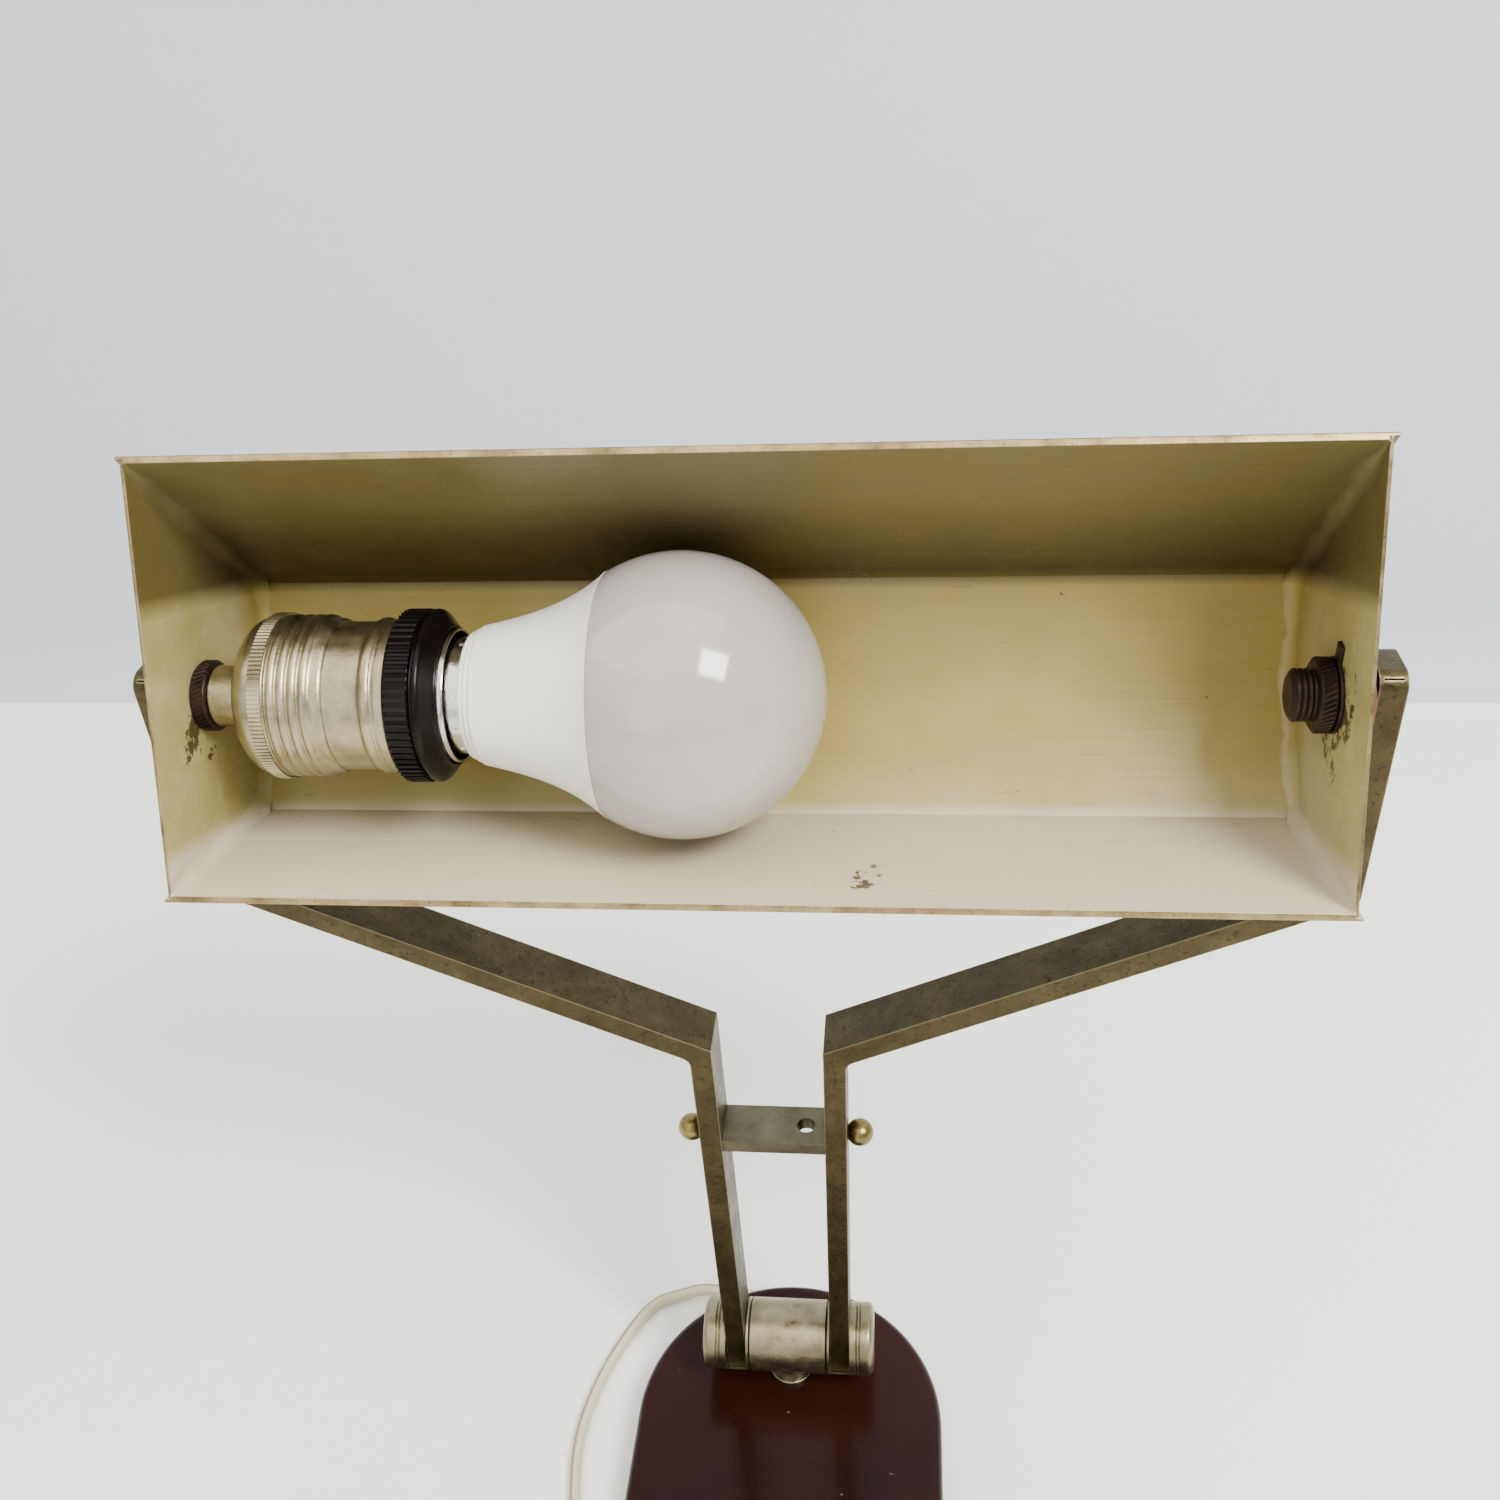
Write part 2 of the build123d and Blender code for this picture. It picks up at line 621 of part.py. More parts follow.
def make_cord():
    root, direction = bushing_frame()
    sleeve = Plane(origin=root - direction * bushing_seat, z_dir=direction) * Cylinder(
        bushing_root_diameter / 2 - seat_fit, bushing_seat,
        align=(Align.CENTER, Align.CENTER, Align.MIN))
    tip = Plane(origin=root, z_dir=direction) * Cone(
        bushing_root_diameter / 2 - seat_fit, bushing_tip_diameter / 2, bushing_length,
        align=(Align.CENTER, Align.CENTER, Align.MIN))
    export("cord_bushing", sleeve + tip)
    start = root + direction * bushing_length
    print("bushing tip", [round(v, 2) for v in (start.X, start.Y, start.Z)])
    wire, radii = route_wire([(start.X, start.Y, start.Z)] + beside_base(cord_route))
    tube = sweep_round(wire, cord_diameter)
    section = pi * cord_diameter ** 2 / 4
    print("cord radii", [round(r, 1) for r in radii])
    print("cord tube volume / (section x length):", round(tube.volume / (section * wire.length), 4))
    export("cord_tube", tube)

    width = coil_columns * cord_diameter
    height = coil_layers * cord_diameter
    outer = coil_mean_radius + width / 2
    inner = coil_mean_radius - width / 2
    coil_x, coil_y, _ = beside_base([(*coil_place, 0)])[0]
    coil = Pos(coil_x, coil_y, height / 2) * (Cylinder(outer, height) - Cylinder(inner, height))
    coil = fillet(coil.edges(), cord_diameter / 3)
    export("cord_coil", coil)
    band = Box(tie_width, width + 2 * tie_thickness, height + tie_thickness)
    band_y = coil_y + coil_mean_radius
    band = Pos(coil_x, band_y, (height + tie_thickness) / 2) * band
    export("cord_tie", band - coil)

    tail_points = beside_base(tail_route)
    tail_wire, tail_radii = route_wire(tail_points)
    print("tail radii", [round(r, 1) for r in tail_radii])
    export("cord_tail", sweep_round(tail_wire, cord_diameter))
    turns = coil_columns * coil_layers + coil_last_turn
    print("whole cord", round(wire.length + tail_wire.length + turns * 2 * pi * coil_mean_radius))

    last_run = Vector(*tail_points[-1]) - Vector(*tail_points[-2])
    heading = Vector(last_run.X, last_run.Y, 0).normalized()
    plug_frame = Plane(origin=tail_points[-1], x_dir=(heading.Y, -heading.X, 0), z_dir=heading)
    body = Pos(0, 0, plug_length / 2) * Box(plug_width, plug_thickness, plug_length)
    body = fillet(body.edges().filter_by(Axis.Z), 5.0)
    body = fillet(body.faces().sort_by(Axis.Z)[0].edges(), 4.0)
    export("plug_body", plug_frame * body)
    pins = []
    for side in (-1, 1):
        pin = Pos(side * pin_spacing / 2, 0, plug_length + pin_length / 2) * Cylinder(
            pin_diameter / 2, pin_length)
        pins.append(plug_frame * pin)
    export("plug_pins", Compound(children=pins))


def make_base_lead():
    """The mains lead inside the base, from the bushing to the foot of the post."""
    root, direction = bushing_frame()
    start = root - direction * (bushing_seat + 0.3)
    bend = root - direction * (wireway_depth - 2.0)
    points = [
        (start.X, start.Y, start.Z),
        (bend.X, bend.Y, bend.Z),
        (bend.X, hinge_y + post_nut_width, (cavity_floor + cavity_top) / 2),
    ]
    wire, _ = route_wire(points)
    export("base_lead", sweep_round(wire, lead_diameter))


os.makedirs("parts", exist_ok=True)
make_base()
make_swivel()
make_arms()
make_shade()
make_pivots()
make_lampholder()
make_bulb()
make_cord()
make_base_lead()
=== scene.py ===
import bpy
import bmesh
import json
from math import acos, cos, pi, radians, sin, sqrt
from mathutils import Matrix, Quaternion, Vector

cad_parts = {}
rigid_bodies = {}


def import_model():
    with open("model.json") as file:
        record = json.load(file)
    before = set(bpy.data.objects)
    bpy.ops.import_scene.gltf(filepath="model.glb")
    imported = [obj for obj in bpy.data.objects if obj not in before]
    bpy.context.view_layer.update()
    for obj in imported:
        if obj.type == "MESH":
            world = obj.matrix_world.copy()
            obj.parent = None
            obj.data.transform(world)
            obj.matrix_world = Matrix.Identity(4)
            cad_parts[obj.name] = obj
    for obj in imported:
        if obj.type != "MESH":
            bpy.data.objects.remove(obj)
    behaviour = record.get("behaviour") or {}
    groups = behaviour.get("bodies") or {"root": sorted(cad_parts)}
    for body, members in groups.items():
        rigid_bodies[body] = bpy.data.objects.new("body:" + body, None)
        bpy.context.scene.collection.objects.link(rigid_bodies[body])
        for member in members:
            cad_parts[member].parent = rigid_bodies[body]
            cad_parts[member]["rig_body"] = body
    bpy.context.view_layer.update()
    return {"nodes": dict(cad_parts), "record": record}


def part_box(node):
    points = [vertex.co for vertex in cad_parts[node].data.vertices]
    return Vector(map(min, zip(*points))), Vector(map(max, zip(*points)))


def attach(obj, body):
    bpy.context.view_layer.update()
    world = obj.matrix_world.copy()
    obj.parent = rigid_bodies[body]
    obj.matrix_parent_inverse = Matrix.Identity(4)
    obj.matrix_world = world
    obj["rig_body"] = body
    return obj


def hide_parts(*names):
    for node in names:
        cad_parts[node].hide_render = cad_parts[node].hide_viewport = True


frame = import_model()
scene = bpy.context.scene
record = frame["record"]
cadNodes = frame["nodes"]
slotOf = {part["node"]: part["material_slot"] for part in record["subparts"]}
jointAt = {j["name"]: j.get("pos_m") for j in record["behaviour"]["joints"]}
hingeY, hingeZ = jointAt["arm_lean"][1:]
pivotY, pivotZ = jointAt["shade_tilt"][1:]
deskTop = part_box("felt_pad")[0][2]
mm = 0.001
print("frame loaded:", len(cadNodes), "nodes")

viewpoint = {  # metres, degrees, and millimetres of lens and sensor
    "place": (0.0332, -0.2064, 0.4048), "yaw": 7.454, "pitch": 33.70, "roll": 3.942, "lens": 34.56, "sensor": 36,
}


def makeCamera():
    yaw, pitch, roll = (radians(viewpoint[k]) for k in ("yaw", "pitch", "roll"))
    ahead = Vector((-sin(yaw) * cos(pitch), cos(yaw) * cos(pitch), -sin(pitch)))
    right = Vector((cos(yaw), sin(yaw), 0))
    down = ahead.cross(right)
    turnedRight = cos(roll) * right + sin(roll) * down
    turnedDown = -sin(roll) * right + cos(roll) * down
    axes = Matrix((turnedRight, -turnedDown, -ahead)).transposed().to_4x4()
    data = bpy.data.cameras.new("camera")
    data.lens = viewpoint["lens"]
    data.sensor_width = viewpoint["sensor"]
    data.clip_start = 0.01
    camera = bpy.data.objects.new("camera", data)
    camera.matrix_world = Matrix.Translation(viewpoint["place"]) @ axes
    scene.collection.objects.link(camera)
    scene.camera = camera


makeCamera()
print("camera placed")


def srgb(code):
    # "8a7f66" as linear red, green, blue and a full alpha
    parts = [int(code[i:i + 2], 16) / 255 for i in (0, 2, 4)]
    return tuple(c / 12.92 if c <= 0.04045 else ((c + 0.055) / 1.055) ** 2.4 for c in parts) + (1,)


def addNode(tree, kind, links=None, stops=(), **settings):
    # one node; links take a value, a hex colour, a socket or a node, whose first live output is used
    made = tree.nodes.new(kind)
    for key, value in settings.items():
        setattr(made, key, value)
    for index, (position, tone) in enumerate(stops):
        elements = made.color_ramp.elements
        element = elements[index] if index < 2 else elements.new(position)
        element.position = position
        element.color = srgb(tone) if isinstance(tone, str) else (tone, tone, tone, 1)
    for key, value in (links or {}).items():
        if isinstance(value, bpy.types.Node):
            value = next(output for output in value.outputs if output.enabled)
        if isinstance(value, bpy.types.NodeSocket):
            tree.links.new(value, made.inputs[key])
        else:
            colour = isinstance(value, str) and made.inputs[key].type == "RGBA"
            made.inputs[key].default_value = srgb(value) if colour else value
    return made


def newFinish(name):
    # an empty material, its tree and the piece's own place in the row frame
    finish = bpy.data.materials.new(name)
    finish.use_nodes = True
    tree = finish.node_tree
    tree.nodes.clear()
    place = addNode(tree, "ShaderNodeTexCoord").outputs["Object"]
    return finish, tree, place


def mottle(tree, place, size, stops, detail=4, rough=0.55):
    # clouds about size millimetres across, read through a run of tones
    clouds = addNode(tree, "ShaderNodeTexNoise", {
        "Vector": place, "Scale": 1000 / size, "Detail": detail, "Roughness": rough})
    return addNode(tree, "ShaderNodeValToRGB", {0: clouds}, stops=stops)


def layOver(tree, mask, share, under, over):
    # one tone lying over another where the mask is white, at most that share of it
    amount = addNode(tree, "ShaderNodeMath", {0: mask, 1: share}, operation="MULTIPLY")
    return addNode(tree, "ShaderNodeMix", {0: amount, 6: under, 7: over}, data_type="RGBA")


def rubbedEdges(tree, width):
    # white along edges and corners, where hands and cloths wear a finish through; width in millimetres
    softened = addNode(tree, "ShaderNodeBevel", {"Radius": width * mm}, samples=4)
    surface = addNode(tree, "ShaderNodeNewGeometry").outputs["Normal"]
    facing = addNode(tree, "ShaderNodeVectorMath", {0: softened, 1: surface}, operation="DOT_PRODUCT")
    return addNode(tree, "ShaderNodeValToRGB", {0: facing}, stops=[(0.82, 1.0), (0.985, 0.0)])


def dressFinish(tree, colour, roughness, relief=None, depth=0.0003, strength=0.2, **fixed):
    # the shader with its colour, gloss and fine relief; fixed values sit on its own sockets
    links = {"Base Color": colour, "Roughness": roughness}
    if relief is not None:
        links["Normal"] = addNode(tree, "ShaderNodeBump", {
            "Height": relief, "Strength": strength, "Distance": depth})
    links.update({key.replace("_", " "): value for key, value in fixed.items()})
    shader = addNode(tree, "ShaderNodeBsdfPrincipled", links)
    addNode(tree, "ShaderNodeOutputMaterial", {0: shader})
    return shader


def stovedEnamel(name, deep, warm):
    # stoved enamel on cast iron and sheet: dark and wet-looking, slight orange peel, dust that settled on it, and
    # edges lightened partly by rubbing and partly by a painted reflection of the rounded edge
    finish, tree, place = newFinish(name)
    body = mottle(tree, place, 70, [(0.35, deep), (0.68, warm)])
    dust = mottle(tree, place, 2.2, [(0.79, 0.0), (0.82, 1.0)], detail=1)
    dusty = layOver(tree, dust, 0.3, body, "9c8d84")
    # light grey along the rounded edges: rubbed enamel together with a painted edge reflection
    worn = layOver(tree, rubbedEdges(tree, 0.5), 0.35, dusty, "8a7a6c")
    wiped = mottle(tree, place, 22, [(0.3, 0.1), (0.75, 0.24)], detail=6, rough=0.65)
    peel = mottle(tree, place, 3.5, [(0.2, 0.0), (0.8, 1.0)], detail=2)
    dressFinish(tree, worn, wiped, peel, 0.0005, 0.05, IOR=1.42, Specular_IOR_Level=0.16)
    return finish


def bronzedSteel():
    # chemically bronzed steel: dark olive, freckled where moisture got at it, brassy on rubbed edges
    finish, tree, place = newFinish("bronzedSteelBar")
    patches = mottle(tree, place, 11, [(0.3, "382f17"), (0.5, "453b20"), (0.74, "564c2f")], 8, 0.7)
    freckles = mottle(tree, place, 1.3, [(0.34, 1.0), (0.42, 0.0)], 3)
    freckled = layOver(tree, freckles, 0.6, patches, "1f190d")
    pale = mottle(tree, place, 0.8, [(0.66, 0.0), (0.74, 1.0)], 3)
    spotted = layOver(tree, pale, 0.35, freckled, "8d8256")
    worn = layOver(tree, rubbedEdges(tree, 0.5), 0.75, spotted, "a39a74")
    satin = mottle(tree, place, 5, [(0.3, 0.32), (0.72, 0.55)], 6, 0.7)
    pits = mottle(tree, place, 0.9, [(0.3, 0.0), (0.6, 1.0)], 3)
    dressFinish(tree, worn, satin, pits, 0.0002, 0.25, Metallic=0.8)
    return finish


def platedMetal(name, bright, dull, low, high, tarnish):
    # thin plate over brass or steel, polished once: clouded, freckled with tarnish, finely scratched
    finish, tree, place = newFinish(name)
    clouds = mottle(tree, place, 8, [(0.3, dull), (0.66, bright)], 7, 0.66)
    freckles = mottle(tree, place, 0.7, [(0.28, 1.0), (0.40, 0.0)], 4)
    freckled = layOver(tree, freckles, tarnish, clouds, "3d3524")
    gloss = mottle(tree, place, 4, [(0.3, low), (0.75, high)], 6, 0.65)
    grain = mottle(tree, place, 0.6, [(0.3, 0.0), (0.7, 1.0)], 4)
    dressFinish(tree, freckled, gloss, grain, 0.0002, 0.12, Metallic=1.0)
    return finish


shadeSizes = {  # millimetres from the pivot: along the mouth upwards, then out of the mouth
    "section": [(-37.8, 22.9), (-31.0, -20.5), (-4.8, -32.0), (20.8, -31.5), (49.8, 22.9)],
    "tilt": 21.1, "halfLength": 117.5, "seam": 2.6,
}


def shadePoint(x, up, out):
    tilt = radians(shadeSizes["tilt"])
    return Vector((x * mm, pivotY + (up * sin(tilt) - out * cos(tilt)) * mm,
                   pivotZ + (up * cos(tilt) + out * sin(tilt)) * mm))


flakes = [  # where the enamel has gone: place, reach in millimetres and how much of it
    (shadePoint(-117.2, -5, 3), 15, 0.40), (shadePoint(117.2, -6, 2), 17, 0.44),
    (shadePoint(117.2, 3, 10), 9, 0.36), (shadePoint(24, -36.4, 12), 9, 0.42),
]


def acrossShade(tree, place, ahead, start, end):
    # rises from 0 to 1 between two distances from the pivot, in millimetres along a direction
    pivotAt = Vector((0, pivotY, pivotZ)).dot(ahead)
    along = addNode(tree, "ShaderNodeVectorMath", {0: place, 1: ahead}, operation="DOT_PRODUCT")
    return addNode(tree, "ShaderNodeMapRange", {0: along, 1: pivotAt + start * mm, 2: pivotAt + end * mm})


def yellowedWithPaintedShadeAndLight(tree, place, body):
    # years of lamp heat: yellow at the back. Painted shade: olive up the upper wall, brown along its fold. Painted
    # light: pale by the lower rim
    up = (shadePoint(0, 1, 0) - shadePoint(0, 0, 0)).normalized()
    out = (shadePoint(0, 0, 1) - shadePoint(0, 0, 0)).normalized()
    back = acrossShade(tree, place, out, -17, -26)
    yellowed = layOver(tree, back, 0.75, body, "9a8433")
    # painted shade: the upper wall, which faces down away from the light, darkened to olive
    upper = acrossShade(tree, place, up, 18.5, 23)
    olive = layOver(tree, upper, 0.9, yellowed, "4e421f")
    # painted shade in the upper fold, darkest brown along it
    byFold = acrossShade(tree, place, out, 4, -32)
    foldOnly = addNode(tree, "ShaderNodeMath", {0: byFold, 1: upper}, operation="MULTIPLY")
    foldPaintedShade = layOver(tree, foldOnly, 0.95, olive, "1b1202")
    # painted light: the lower wall, which faces up into the light, paled towards cream
    lower = acrossShade(tree, place, up, -28.5, -32)
    return layOver(tree, lower, 0.85, foldPaintedShade, "c9c0a6")


def creamEnamel(name, pale, mid, deep, edgeShare):
    # brushed cream enamel, yellowed by lamp heat, with painted shade on the upper wall and its fold and painted light
    # on the lower wall: glossy, dusty, scratched along its length and flaked at the nuts
    finish, tree, place = newFinish(name)
    body = mottle(tree, place, 60, [(0.3, deep), (0.5, mid), (0.72, pale)], 5, 0.6)
    along = addNode(tree, "ShaderNodeMapping", {"Vector": place, "Scale": (0.1, 1, 1)})
    wipes = mottle(tree, along, 5, [(0.5, 0.0), (0.78, 1.0)], 6, 0.72)
    # the wiped cream carries the heat yellowing and the painted shade and light of the walls
    wiped = yellowedWithPaintedShadeAndLight(tree, place, layOver(tree, wipes, 0.3, body, "c9c3a4"))
    grime = mottle(tree, place, 2.0, [(0.70, 0.0), (0.75, 1.0)], 5, 0.6)
    grimy = layOver(tree, grime, 0.55, wiped, "5d5130")
    hairline = mottle(tree, along, 1.1, [(0.70, 0.0), (0.73, 1.0)], 2)
    scratched = layOver(tree, hairline, 0.4, grimy, "6d5f38")
    flaking = mottle(tree, place, 6, [(0.3, 0.0), (0.7, 1.0)], 8, 0.75)
    bare = None
    for centre, reach, share in flakes:
        away = addNode(tree, "ShaderNodeVectorMath", {0: place, 1: centre}, operation="DISTANCE")
        near = addNode(tree, "ShaderNodeMapRange", {0: away, 1: reach * 0.3 * mm, 2: reach * mm, 3: share, 4: 0.0})
        worn = addNode(tree, "ShaderNodeMath", {0: flaking, 1: near}, operation="ADD")
        spot = addNode(tree, "ShaderNodeValToRGB", {0: worn}, stops=[(0.93, 0.0), (0.95, 1.0)])
        bare = spot if bare is None else addNode(tree, "ShaderNodeMath", {0: bare, 1: spot}, operation="MAXIMUM")
    chips = mottle(tree, place, 5, [(0.735, 0.0), (0.745, 1.0)], 7, 0.7)
    gone = addNode(tree, "ShaderNodeMath", {0: bare, 1: chips}, operation="MAXIMUM")
    flaked = layOver(tree, gone, 0.9, scratched, "3a2a14")
    edged = flaked
    if edgeShare:
        edged = layOver(tree, rubbedEdges(tree, 0.8), edgeShare, flaked, "4a3a1e")
    gloss = mottle(tree, place, 14, [(0.3, 0.26), (0.72, 0.48)], 6, 0.65)
    brushed = mottle(tree, along, 1.6, [(0.3, 0.0), (0.7, 1.0)], 5, 0.6)
    dressFinish(tree, edged, gloss, brushed, 0.0003, 0.12, IOR=1.5)
    return finish


def plainFinish(name, light, dark, low, high, size=9, grain=0.5, strength=0.1, **fixed):
    # one colour with a little unevenness in tone and gloss, and a fine grain
    finish, tree, place = newFinish(name)
    tone = mottle(tree, place, size, [(0.3, dark), (0.7, light)], 5, 0.6)
    gloss = mottle(tree, place, size * 0.6, [(0.3, low), (0.72, high)], 4)
    relief = mottle(tree, place, grain, [(0.3, 0.0), (0.7, 1.0)], 3)
    dressFinish(tree, tone, gloss, relief, 0.0002, strength, **fixed)
    return finish


def twinFlexVinyl():
    # two strands moulded side by side in soft cream vinyl: a groove down each flat, darker in the groove
    finish, tree, _ = newFinish("creamTwinFlexVinyl")
    around = addNode(tree, "ShaderNodeSeparateXYZ", {0: addNode(tree, "ShaderNodeTexCoord").outputs["UV"]})
    turn = addNode(tree, "ShaderNodeMath", {0: around.outputs["Y"], 1: 2 * pi}, operation="MULTIPLY")
    wave = addNode(tree, "ShaderNodeMath", {0: turn}, operation="COSINE")
    lobes = addNode(tree, "ShaderNodeMath", {0: wave}, operation="ABSOLUTE")
    ridge = addNode(tree, "ShaderNodeValToRGB", {0: lobes}, stops=[(0.0, 0.0), (0.4, 1.0)])
    # colour darker along the groove of each flat, lighter over the strands
    grooveDarkened = addNode(tree, "ShaderNodeValToRGB", {0: lobes}, stops=[(0.0, "7d7052"), (0.3, "cbc2a0")])
    dressFinish(tree, grooveDarkened, 0.42, ridge, 0.0008, 0.7, IOR=1.53)
    return finish


baseEnamel = stovedEnamel("burgundyStovedEnamel", "1a0906", "2b110c")
shadeEnamel = stovedEnamel("burgundyShadeEnamel", "220c09", "361611")
armBronze = bronzedSteel()
hingeNickel = platedMetal("wornNickelPlate", "a09777", "70674b", 0.26, 0.48, 0.4)
barNickel = platedMetal("dullNickelBar", "716c56", "504b38", 0.34, 0.55, 0.5)
holderNickel = platedMetal("satinNickelPlate", "bfb593", "8d8365", 0.26, 0.44, 0.3)
capNickel = platedMetal("brightNickelCap", "dcdad2", "a8a498", 0.1, 0.22, 0.15)
tarnishedBrass = platedMetal("tarnishedTurnedBrass", "9c8752", "5f5433", 0.25, 0.45, 0.6)
rimBrass = platedMetal("rubbedRimMetal", "b8a276", "6d5c3a", 0.3, 0.5, 0.7)
contactBrass = platedMetal("sheetBrass", "caa75c", "9a7c3e", 0.25, 0.4, 0.2)
blackenedSteel = plainFinish("blackenedSteel", "3b2a22", "1c1512", 0.34, 0.6, 5, 0.8, 0.3, Metallic=0.7)
zincedSteel = plainFinish("zincedSteel", "aaa9a1", "85847c", 0.3, 0.5, Metallic=1.0)
blackBakelite = plainFinish("pressedBlackBakelite", "100b09", "070504", 0.2, 0.32, strength=0.04, IOR=1.5,
                            Specular_IOR_Level=0.14)
glazedPorcelain = plainFinish("glazedPorcelain", "ece8dc", "dcd6c6", 0.1, 0.2, IOR=1.5)
bulbPlastic = plainFinish("whiteMouldedPolycarbonate", "f4f1e7", "ece8dc", 0.34, 0.46, 20, 0.6, 0.03, IOR=1.58)
frostedGlobe = plainFinish("frostedPolycarbonateGlobe", "b3ada5", "a69f95", 0.08, 0.15, 26, 0.8, 0.01,
                           IOR=1.58, Subsurface_Weight=0.25, Subsurface_Radius=(1.0, 0.95, 0.9),
                           Subsurface_Scale=0.008)
vulcanFibre = plainFinish("vulcanisedFibre", "85472f", "643321", 0.5, 0.7, 4)
creamPlug = plainFinish("creamMouldedVinyl", "d8cfb3", "c8be9e", 0.32, 0.46, 12)
brownLead = plainFinish("brownLeadVinyl", "5f4029", "4c321f", 0.4, 0.5)
brownTie = plainFinish("brownVinylTie", "4b3729", "3a2a1f", 0.4, 0.55)
greenFelt = plainFinish("woolFelt", "34433a", "243029", 0.9, 1.0, 1.2, 0.7, 0.9, Sheen_Weight=0.5)
ledBoard = plainFinish("whiteSolderResist", "e9e9e4", "dededa", 0.3, 0.45)
creamInside = creamEnamel("yellowedCreamEnamel", "bab088", "aa9e68", "96884c", 0.6)
seamCream = creamEnamel("thickCreamEnamelOverSolder", "c4bc96", "b8ad7c", "a39663", 0)
flexVinyl = twinFlexVinyl()
finishOf = {
    "base_enamel": baseEnamel, "felt": greenFelt, "plain_steel": zincedSteel, "hinge_nickel": hingeNickel,
    "arm_bronze": armBronze, "screw_brass": tarnishedBrass, "shade_enamel": shadeEnamel,
    "dark_steel": blackenedSteel, "holder_nickel": holderNickel, "bakelite": blackBakelite,
    "porcelain": glazedPorcelain, "contact_brass": contactBrass, "bulb_white": bulbPlastic,
    "bulb_diffuser": frostedGlobe, "fibre": vulcanFibre, "cord_cream": flexVinyl, "lead_brown": brownLead,
    "plug_cream": creamPlug, "board_white": ledBoard,
}
for nodeName, cadNode in cadNodes.items():
    cadNode.data.materials.clear()
    cadNode.data.materials.append(finishOf[slotOf[nodeName]])
for nodeName, finish in (("cord_tie", brownTie), ("bulb_cap", capNickel), ("crossbar", barNickel),
                         ("friction_washers", blackenedSteel)):
    cadNodes[nodeName].data.materials[0] = finish
print("finishes made")

studio = {  # name: place, aims at, size, watts, colour
    "windowLight": ((0.66, -0.55, 1.22), (0.0, 0.0, 0.22), 0.46, 29, "ffffff"),
    "ceilingLight": ((-0.35, 0.05, 1.60), (0.0, 0.05, 0.10), 2.40, 38, "fffaf2"),
    "frontLight": ((-0.45, -1.30, 0.75), (0.0, 0.0, 0.20), 0.90, 4, "ffffff"),
    "worldColour": "eaecee", "worldStrength": 0.94,
    "deskReach": 2.0, "deskBack": 0.42, "bend": 0.04, "wallTop": 1.8,
}


def makeStudio():
    # a warm white desk with a pale blue-grey wall behind it
    bend, back, reach = studio["bend"], studio["deskBack"], studio["deskReach"]
    curve = [(back + bend * sin(pi * i / 48), bend * (1 - cos(pi * i / 48))) for i in range(25)]
    shapes = (("desk", "matWhiteDesk", "f9f8f0", [(-reach, 0.0)] + curve[:7]),
              ("wall", "matBlueGreyWall", "c6ccd4", curve[6:] + [(back + bend, studio["wallTop"])]))
    for name, finishName, colour, profile in shapes:
        finish, tree, _ = newFinish(finishName)
        addNode(tree, "ShaderNodeOutputMaterial", {
            0: addNode(tree, "ShaderNodeBsdfPrincipled", {"Base Color": colour, "Roughness": 0.6})})
        verts = [(x, y, z + deskTop) for y, z in profile for x in (-reach, reach)]
        faces = [(2 * i, 2 * i + 1, 2 * i + 3, 2 * i + 2) for i in range(len(profile) - 1)]
        mesh = bpy.data.meshes.new(name)
        mesh.from_pydata(verts, [], faces)
        mesh.materials.append(finish)
        mesh.shade_smooth()
        board = bpy.data.objects.new(name, mesh)
        scene.collection.objects.link(board)
    for name in ("windowLight", "ceilingLight", "frontLight"):
        place, target, size, watts, colour = studio[name]
        data = bpy.data.lights.new(name, "AREA")
        data.size, data.energy = size, watts
        data.color = srgb(colour)[:3]
        light = bpy.data.objects.new(name, data)
        light.location = place
        aim = (Vector(target) - Vector(place)).to_track_quat("-Z", "Y")
        light.rotation_euler = (aim @ Quaternion((0, 0, 1), pi / 4)).to_euler()
        scene.collection.objects.link(light)
    world = bpy.data.worlds.new("room")
    world.use_nodes = True
    sky = world.node_tree.nodes["Background"].inputs
    sky[0].default_value, sky[1].default_value = srgb(studio["worldColour"]), studio["worldStrength"]
    scene.world = world


makeStudio()
print("desk and lights made")

flex = {"diameter": 0.0036, "length": 1.80, "coilPlace": (-0.0853, -0.050), "coilRadius": 0.0208,
        "columns": 3, "layers": 4, "lastTurn": 0.25, "pointsPerTurn": 16}
flexToCoil = [  # millimetres, from the bushing round the base's left side
    (-22.53, 76.86, 4.48), (-29.9, 78.94, 3.8), (-37.8, 77.1, 2.3), (-46.7, 74.1, 1.8), (-53.1, 62.7, 1.8),
    (-59.2, 47.5, 1.8), (-62.8, 29.0, 1.8), (-61.2, 12.0, 1.8), (-57.0, -5.0, 1.8), (-58.2, -25.0, 1.8),
    (-60.9, -43.0, 1.8),
]
flexToPlug = [
    (-86.8, -74.4, 12.6), (-99.5, -75.0, 9.6), (-111.5, -71.5, 4.6), (-120.5, -62.5, 3.6), (-123.5, -51.0, 6.8),
]


